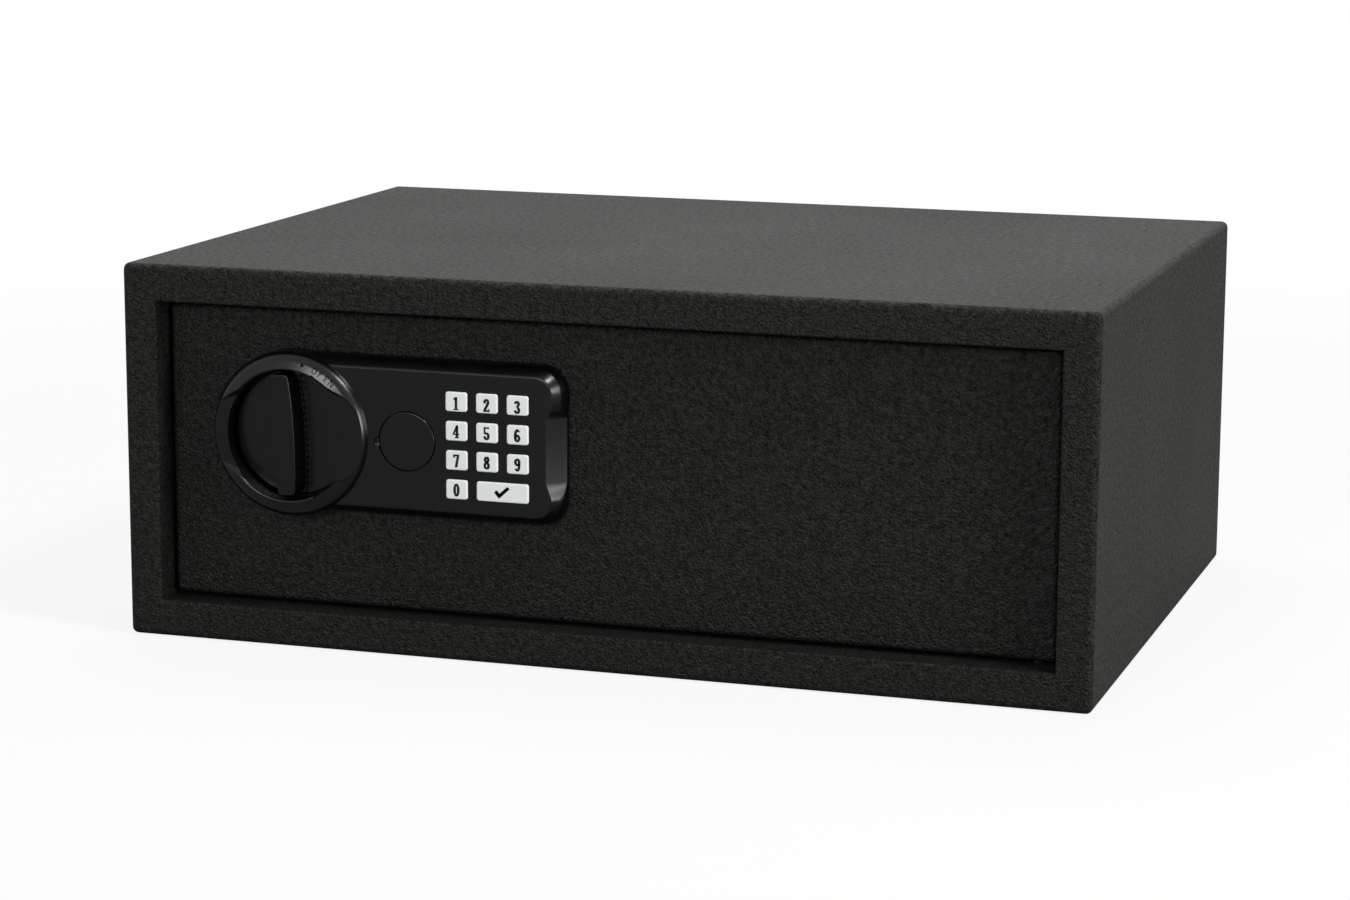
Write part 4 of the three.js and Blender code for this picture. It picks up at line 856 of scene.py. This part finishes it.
def letter_mesh(letter):
    """One letter as a closed flat mesh, centred on the origin and facing forwards."""
    curve = bpy.data.curves.new(letter, "FONT")
    curve.body = letter
    curve.size = LETTER_SIZE
    curve.align_x = "CENTER"
    curve.align_y = "CENTER"
    curve.extrude = LETTER_RISE
    curve.resolution_u = 6
    source = bpy.data.objects.new(letter, curve)
    scene.collection.objects.link(source)
    bpy.context.view_layer.update()
    mesh = bpy.data.meshes.new_from_object(source)
    bpy.data.objects.remove(source)
    bpy.data.curves.remove(curve)
    bm = bmesh.new()
    bm.from_mesh(mesh)
    bpy.data.meshes.remove(mesh)
    bmesh.ops.remove_doubles(bm, verts=bm.verts, dist=1e-7)
    low = Vector([min(v.co[i] for v in bm.verts) for i in range(3)])
    high = Vector([max(v.co[i] for v in bm.verts) for i in range(3)])
    bmesh.ops.translate(bm, vec=-(low + high) / 2, verts=bm.verts)
    bmesh.ops.scale(bm, vec=(LETTER_NARROW, 1, 1), verts=bm.verts)
    spun(bm, math.pi / 2, "X")
    return bm


def spun(bm, turn, axis):
    """Turns a mesh about an axis through the origin."""
    bmesh.ops.rotate(bm, cent=(0, 0, 0), matrix=Matrix.Rotation(turn, 3, axis), verts=bm.verts)


def on_ring(bm, clockwise):
    """Lays a flat mesh on the ring's sloping face, at an angle clockwise from the top."""
    spun(bm, -ring_slope, "X")
    spun(bm, clockwise, "Y")
    level = ring_face + (LETTER_ORBIT - RING_FLAT) * math.tan(ring_slope)
    out = Vector((math.sin(clockwise), 0, math.cos(clockwise))) * LETTER_ORBIT
    bmesh.ops.translate(bm, vec=Vector((knob_x, level, knob_z)) + out, verts=bm.verts)
    return bm


letter_black = moulded("worn_black_letter", LETTER_BLACK, gloss=0.55, texture=0.01 * MM, level=0.02)
for index, letter in enumerate("OPEN"):
    letter_bm = on_ring(letter_mesh(letter), math.radians(LETTER_START + LETTER_STEP * index))
    made(letter_bm, f"ring_letter_{index + 1}", "door", "black_plastic", letter_black)
arrow_bm = bmesh.new()
bmesh.ops.create_cone(
    arrow_bm, cap_ends=True, segments=3, radius1=ARROW_BASE, radius2=ARROW_TOP, depth=2 * LETTER_RISE,
    matrix=Matrix.Rotation(math.pi / 2, 4, "X"),
)
spun(arrow_bm, math.pi / 2, "Y")
made(on_ring(arrow_bm, math.radians(ARROW_AT)), "ring_arrow", "door", "black_plastic", letter_black)

# Keys. Ten number keys and a wide enter key, moulded in light grey with a black printed figure. A shelf
# behind the housing's wall keeps each key in its window, and the rubber mat behind pushes it out.
KEY_GREY = (0.66, 0.69, 0.69)
INK_BLACK = (0.006, 0.009, 0.01)
KEY_EDGE = 0.55 * MM
PRINT_RISE = 0.06 * MM
PRINT_WIDE = 1.04
PRINT_TALL = 1.16
PRINT_BOLD = 0.42 * MM
STEM = 0.8
HAIRLINE = 0.6
STROKE_STEP = 12
TOP_ROW_DROP = 0.7 * MM
ROW_DROP = 0.2 * MM
key_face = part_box("key_1")[0].y
shelf_front = wall_back + SEAM


def hoop(bm, middle, reach, start=0, end=360):
    """Part of an oval stroke, thick at its sides and thin above and below. Angles run anticlockwise."""
    turn = math.radians(start)
    ends = [bm.verts.new((radius * math.cos(turn), 0, radius * math.sin(turn))) for radius in (1, 2)]
    bmesh.ops.spin(
        bm, geom=ends + [bm.edges.new(ends)], axis=(0, -1, 0), cent=(0, 0, 0),
        steps=max(3, int((end - start) / STROKE_STEP)), angle=math.radians(end - start), use_merge=end - start == 360,
    )
    for vert in [v for v in bm.verts if v.co.length > 0.5]:
        outer = vert.co.length > 1.5
        wide = reach[0] if outer else reach[0] - STEM
        tall = reach[1] if outer else reach[1] - HAIRLINE
        unit = vert.co.normalized()
        vert.co = Vector(((middle[0] + wide * unit.x) * MM, 0, (middle[1] + tall * unit.z) * MM))


def strip(bm, *corners):
    """A straight stroke or serif between its corners."""
    bm.faces.new([bm.verts.new((x * MM, 0, z * MM)) for x, z in corners])


def figure(sign):
    """A condensed numeral with slab serifs, 4.8 mm tall, or the tick, as a thin raised print."""
    bm = bmesh.new()
    if sign == "0":
        hoop(bm, (0, 0), (1.2, 2.4))
    if sign == "1":
        strip(bm, (-0.32, -2.4), (0.46, -2.4), (0.46, 2.4), (-0.05, 2.4), (-0.32, 2.1))
        strip(bm, (-0.95, -2.4), (1.05, -2.4), (1.05, -1.98), (-0.95, -1.98))
        strip(bm, (-1.0, 1.3), (-0.3, 1.75), (-0.3, 2.3), (-1.0, 1.75))
    if sign == "2":
        hoop(bm, (0, 1.1), (1.15, 1.3), -25, 180)
        strip(bm, (-1.15, 0.75), (-0.35, 0.75), (-0.35, 1.12), (-1.15, 1.12))
        strip(bm, (0.28, 0.85), (1.05, 0.6), (-0.3, -1.75), (-1.15, -1.75))
        strip(bm, (-1.15, -2.4), (1.15, -2.4), (1.15, -1.75), (-1.15, -1.75))
        strip(bm, (0.8, -1.75), (1.15, -1.75), (1.15, -1.2), (0.9, -1.2))
    if sign == "3":
        hoop(bm, (0, 1.25), (1.1, 1.15), -80, 180)
        hoop(bm, (0, -1.1), (1.2, 1.3), -180, 80)
        strip(bm, (-0.35, -0.05), (0.35, -0.05), (0.35, 0.36), (-0.35, 0.36))
    if sign == "4":
        strip(bm, (0.02, -2.4), (0.78, -2.4), (0.78, 2.4), (0.02, 2.4))
        strip(bm, (0.3, 2.4), (-1.3, -0.75), (-0.85, -0.75), (0.3, 1.4))
        strip(bm, (-1.3, -1.2), (1.25, -1.2), (1.25, -0.75), (-1.3, -0.75))
        strip(bm, (-0.4, -2.4), (1.15, -2.4), (1.15, -2.02), (-0.4, -2.02))
    if sign == "5":
        strip(bm, (-1.05, 1.8), (1.0, 1.8), (1.0, 2.4), (-1.05, 2.4))
        strip(bm, (-1.05, 0.1), (-0.62, 0.1), (-0.62, 1.8), (-1.05, 1.8))
        hoop(bm, (0, -0.95), (1.2, 1.45), -180, 145)
    if sign in "69":
        hoop(bm, (0, -1.0), (1.2, 1.4))
        hoop(bm, (0, 0), (1.2, 2.4), 55, 200)
        strip(bm, (0.25, 1.3), (0.95, 1.3), (0.95, 1.75), (0.25, 1.75))
    if sign == "7":
        strip(bm, (-1.15, 1.72), (1.15, 1.72), (1.15, 2.4), (-1.15, 2.4))
        strip(bm, (-1.15, 1.15), (-0.85, 1.15), (-0.75, 1.75), (-1.15, 1.75))
        strip(bm, (0.45, 1.75), (1.15, 1.75), (0.3, -2.4), (-0.5, -2.4))
    if sign == "8":
        hoop(bm, (0, 1.2), (1.08, 1.2))
        hoop(bm, (0, -1.05), (1.2, 1.35))
    if sign == "9":
        spun(bm, math.pi, "Y")
    if sign == "tick":
        strip(bm, (-3.3, 0.0), (-2.5, 1.0), (-1.25, -0.35), (-1.4, -2.0))
        strip(bm, (-1.4, -2.0), (-1.25, -0.35), (2.3, 2.45), (3.0, 1.65))
    drawn(bm, bmesh.ops.extrude_face_region(bm, geom=bm.faces[:]), (0, -PRINT_RISE, 0))
    bmesh.ops.recalc_face_normals(bm, faces=bm.faces)
    return bm


key_plastic = moulded("light_grey_key", KEY_GREY, gloss=0.42, texture=0.008 * MM)
ink = moulded("black_print", INK_BLACK, gloss=0.5, texture=0.01 * MM)
for key_name in KEY_NAMES:
    key_low, key_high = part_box(key_name)
    key_bm = block((key_low.x, shelf_front, key_low.z), key_high)
    faces = [f for f in key_bm.faces if f.normal.y < -0.99]
    bmesh.ops.inset_individual(key_bm, faces=faces, thickness=KEY_SHELF)
    risen = bmesh.ops.extrude_face_region(key_bm, geom=faces)
    bmesh.ops.delete(key_bm, geom=faces, context="FACES_ONLY")
    drawn(key_bm, risen, (0, key_face - shelf_front, 0))
    uprights = [e for e in edges_along(key_bm, 1) if min(v.co.y for v in e.verts) < key_face + WELD]
    rounded(key_bm, uprights, KEY_CORNER, 5)
    rounded(key_bm, loop_at(key_bm, key_face), KEY_EDGE)
    bmesh.ops.recalc_face_normals(key_bm, faces=key_bm.faces)
    made(key_bm, key_name + "_cap", key_name, "key_plastic", key_plastic, key_name, crease=MOULD_CREASE)

    print_bm = figure("tick" if key_name == "key_enter" else key_name[-1])
    bmesh.ops.scale(print_bm, vec=(PRINT_WIDE, 1, PRINT_TALL), verts=print_bm.verts)
    twin = bmesh.ops.duplicate(print_bm, geom=print_bm.verts[:] + print_bm.edges[:] + print_bm.faces[:])
    drawn(print_bm, twin, (PRINT_BOLD, 0, 0))
    drop = TOP_ROW_DROP if key_name[-1] in "123" else ROW_DROP
    middle = (key_low + key_high) / 2
    place = (middle.x - PRINT_BOLD / 2, key_face + PRINT_RISE / 2, middle.z - drop)
    bmesh.ops.translate(print_bm, vec=place, verts=print_bm.verts)
    made(print_bm, key_name + "_figure", key_name, "rubber", ink)

# Knob. A black ABS dial sunk in the ring, with one bar-shaped grip moulded on it. The grip's sides carry
# seventeen small ridges each for the fingertips, and its steel spindle goes through the door.
GRIP_RISE = 10 * MM
GRIP_HALF = 26.3 * MM
GRIP_WIDTH = 10.6 * MM
GRIP_END = 7.8 * MM
GRIP_SHIFT = -1.6 * MM
GRIP_LEAN = math.radians(-3)
GRIP_CORNER = 1.6 * MM
GRIP_EDGE = 0.6 * MM
GRIP_ROOT = 1 * MM
GRIP_CUTS = 23
FOOT_RISE = 0.9 * MM
FOOT_REACH = 1.7 * MM
FOOT_LONGER = 0.4 * MM
FOOT_EDGE = 0.4 * MM
FOOT_ROOT = 0.8 * MM
DIAL_EDGE = 0.9 * MM
SOCKET_DEPTH = 8 * MM
RIDGES = 17
RIDGE_PITCH = 2.75 * MM
RIDGE_LENGTH = 8.4 * MM
RIDGE_BACK = 0.9 * MM
RIDGE_FRONT = 0.5 * MM
RIDGE_SUNK = 0.3 * MM
RIDGE_SPREAD = 1.2 * MM
RIDGE_ROOT = 0.1 * MM
dial_low, dial_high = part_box("knob_dial")
dial_radius = (dial_high.x - dial_low.x) / 2
dial_front = dial_low.y + GRIP_RISE


def swell(z):
    """Half the grip's width at a height above its middle."""
    return (GRIP_END + (GRIP_WIDTH - GRIP_END) * (1 - (z / GRIP_HALF) ** 2)) / 2


def crossbar(front, back, half, wider):
    """An upright bar, widest in its middle."""
    bm = block((-1, front, -half), (1, back, half))
    bmesh.ops.subdivide_edges(bm, edges=edges_along(bm, 2), cuts=GRIP_CUTS, use_grid_fill=True)
    for vert in bm.verts:
        vert.co.x *= swell(vert.co.z) + wider
    return bm


def rim_at(bm, level):
    """The outer edges of a front face."""
    return [e for e in loop_at(bm, level) if any(f.normal.y > -0.5 for f in e.link_faces)]


def joined_to_dial(bm):
    """Leans a part of the grip, moves it to the dial and joins it on."""
    spun(bm, GRIP_LEAN, "Y")
    bmesh.ops.translate(bm, vec=(knob_x + GRIP_SHIFT, 0, knob_z), verts=bm.verts)
    worked(knob, [bm], "UNION", MOULD_CREASE)


dial_profile = [
    (0, dial_front), (dial_radius, dial_front), (dial_radius, dial_high.y), (SPINDLE_HOLE, dial_high.y),
    (0, dial_high.y),
]
dial_bm = turned(eased(dial_profile, 1, DIAL_EDGE), knob_middle, 1, steps=128)
knob = made(dial_bm, "knob_moulding", "knob", "black_plastic", plastic, "knob_dial", crease=MOULD_CREASE)

grip_bm = crossbar(dial_low.y, dial_front + GRIP_ROOT, GRIP_HALF, 0)
grip_ends = [e for e in edges_along(grip_bm, 1) if abs(e.verts[0].co.z) > GRIP_HALF - WELD]
rounded(grip_bm, grip_ends, GRIP_CORNER, 6)
rounded(grip_bm, rim_at(grip_bm, dial_low.y), GRIP_EDGE)
joined_to_dial(grip_bm)
foot_front = dial_front - FOOT_RISE
foot_bm = crossbar(foot_front, dial_front + FOOT_ROOT, GRIP_HALF + FOOT_LONGER, FOOT_REACH)
rounded(foot_bm, rim_at(foot_bm, foot_front), FOOT_EDGE)
joined_to_dial(foot_bm)
ridges_bm = bmesh.new()
for side in (-1, 1):
    for index in range(RIDGES):
        z = (index - (RIDGES - 1) / 2) * RIDGE_PITCH
        ridge_place = (side * (swell(z) - RIDGE_SUNK), dial_front + RIDGE_ROOT - RIDGE_LENGTH / 2, z)
        ridge = bmesh.ops.create_cone(
            ridges_bm, cap_ends=True, segments=12, radius1=RIDGE_BACK, radius2=RIDGE_FRONT, depth=RIDGE_LENGTH,
            matrix=Matrix.Translation(ridge_place) @ Matrix.Rotation(math.pi / 2, 4, "X"),
        )
        for vert in ridge["verts"]:
            if vert.co.y > dial_front - RIDGE_LENGTH / 2:
                vert.co.x += side * RIDGE_SPREAD
joined_to_dial(ridges_bm)
worked(knob, [bar(knob_x, knob_z, dial_high.y - SOCKET_DEPTH, dial_high.y + PAST, SPINDLE_HOLE)])

# Lock cap. A round black cap that snaps into its seat over the emergency lock, held by the short skirt
# behind it, and is pried off at the notch to its left.
CAP_EDGE = 0.5 * MM
CAP_SKIRT = 11.8 * MM
CAP_SKIRT_WALL = 0.8 * MM
cap_radius = (cap_high.x - cap_low.x) / 2
cap_profile = [
    (0, cap_low.y), (cap_radius, cap_low.y), (cap_radius, cap_back), (CAP_SKIRT, cap_back), (CAP_SKIRT, cap_high.y),
    (CAP_SKIRT - CAP_SKIRT_WALL, cap_high.y), (CAP_SKIRT - CAP_SKIRT_WALL, cap_back), (0, cap_back),
]
cap_bm = turned(eased(cap_profile, 1, CAP_EDGE), (lock_x, 0, knob_z), 1, steps=96)
made(cap_bm, "lock_cap_moulding", "cap", "black_plastic", plastic, "lock_cap", crease=MOULD_CREASE)

# Bolts. Two bright turned steel bars, chamfered at the nose, with a spigot at the inner end that is
# riveted into the carriage's flange.
BOLT_RADIUS = 7 * MM
BOLT_NOSE = 1.5 * MM
SPIGOT_RADIUS = 4 * MM
SPIGOT_LENGTH = 5 * MM
steel = metal("turned_steel", (0.66, 0.66, 0.65), low=0.18, high=0.3, grain=260, scratch=0.006 * MM)
for bolt_node in ("lower_bolt", "upper_bolt"):
    bolt_low, bolt_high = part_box(bolt_node)
    half = (bolt_high.x - bolt_low.x) / 2
    shoulder = half - SPIGOT_LENGTH
    profile = [
        (0, -half), (BOLT_RADIUS, -half), (BOLT_RADIUS, shoulder), (SPIGOT_RADIUS, shoulder), (SPIGOT_RADIUS, half),
        (0, half),
    ]
    bolt_bm = turned(eased(profile, 1, BOLT_NOSE, 5), (bolt_low + bolt_high) / 2, 0, steps=64)
    made(bolt_bm, bolt_node + "_turned", "bolt_work", "bright_steel", steel, bolt_node)

# Bolt work. The knob's spindle turns a crank disc, whose pin moves the bolts' carriage on four shoulder
# screws. All are zinc-plated steel behind the door's cover, so they keep their CAD shapes.
finish_nodes(
    zinc, "knob_spindle", "crank_disc", "crank_screw", "bolt_carriage", "guide_screw_1", "guide_screw_2",
    "guide_screw_3", "guide_screw_4",
)

# Solenoid. A copper winding in a zinc-plated bracket draws in a steel plunger against its spring, which
# frees the carriage. It is screwed to the door behind the cover.
winding = metal("copper_winding", (0.5, 0.22, 0.09), low=0.3, high=0.45, grain=300, scratch=0.02 * MM)
finish_nodes(zinc, "solenoid_bracket")
finish_nodes(winding, "solenoid_coil")
finish_nodes(steel, "solenoid_plunger", "plunger_spring")

# Emergency lock. A zinc-plated barrel clamped through the door by its nut, with a brass plug for the key
# and a zinc-plated cam at its back.
brass = metal("brass", (0.62, 0.44, 0.18), low=0.25, high=0.4, grain=180, scratch=0.008 * MM)
finish_nodes(zinc, "lock_barrel", "lock_cam", "lock_nut")
finish_nodes(brass, "lock_plug")

# Keypad's mat and the boards. A black silicone mat springs the keys over a green glass-fibre board, and
# a second board sits on posts behind the door. A red button on it resets the code.
rubber = moulded("silicone_rubber", (0.035, 0.035, 0.038), gloss=0.75, texture=0.02 * MM, scale=1800)
board = moulded("circuit_board", (0.012, 0.075, 0.035), gloss=0.4, texture=0.01 * MM, scale=900)
red = moulded("red_button", (0.36, 0.02, 0.012), gloss=0.42, texture=0.01 * MM)
finish_nodes(rubber, "key_mat")
finish_nodes(board, "keypad_board", "control_board")
finish_nodes(red, "reset_button")

# Batteries. Four cells in dark sleeves lie in a black moulded box between steel contacts, and a black
# cover closes the box from the back of the door.
sleeve = moulded("cell_sleeve", (0.03, 0.04, 0.05), gloss=0.3, texture=0.004 * MM)
finish_nodes(sleeve, "battery_1", "battery_2", "battery_3", "battery_4")
finish_nodes(steel, "left_battery_contact", "right_battery_contact")
finish_nodes(plastic, "battery_box", "battery_cover")
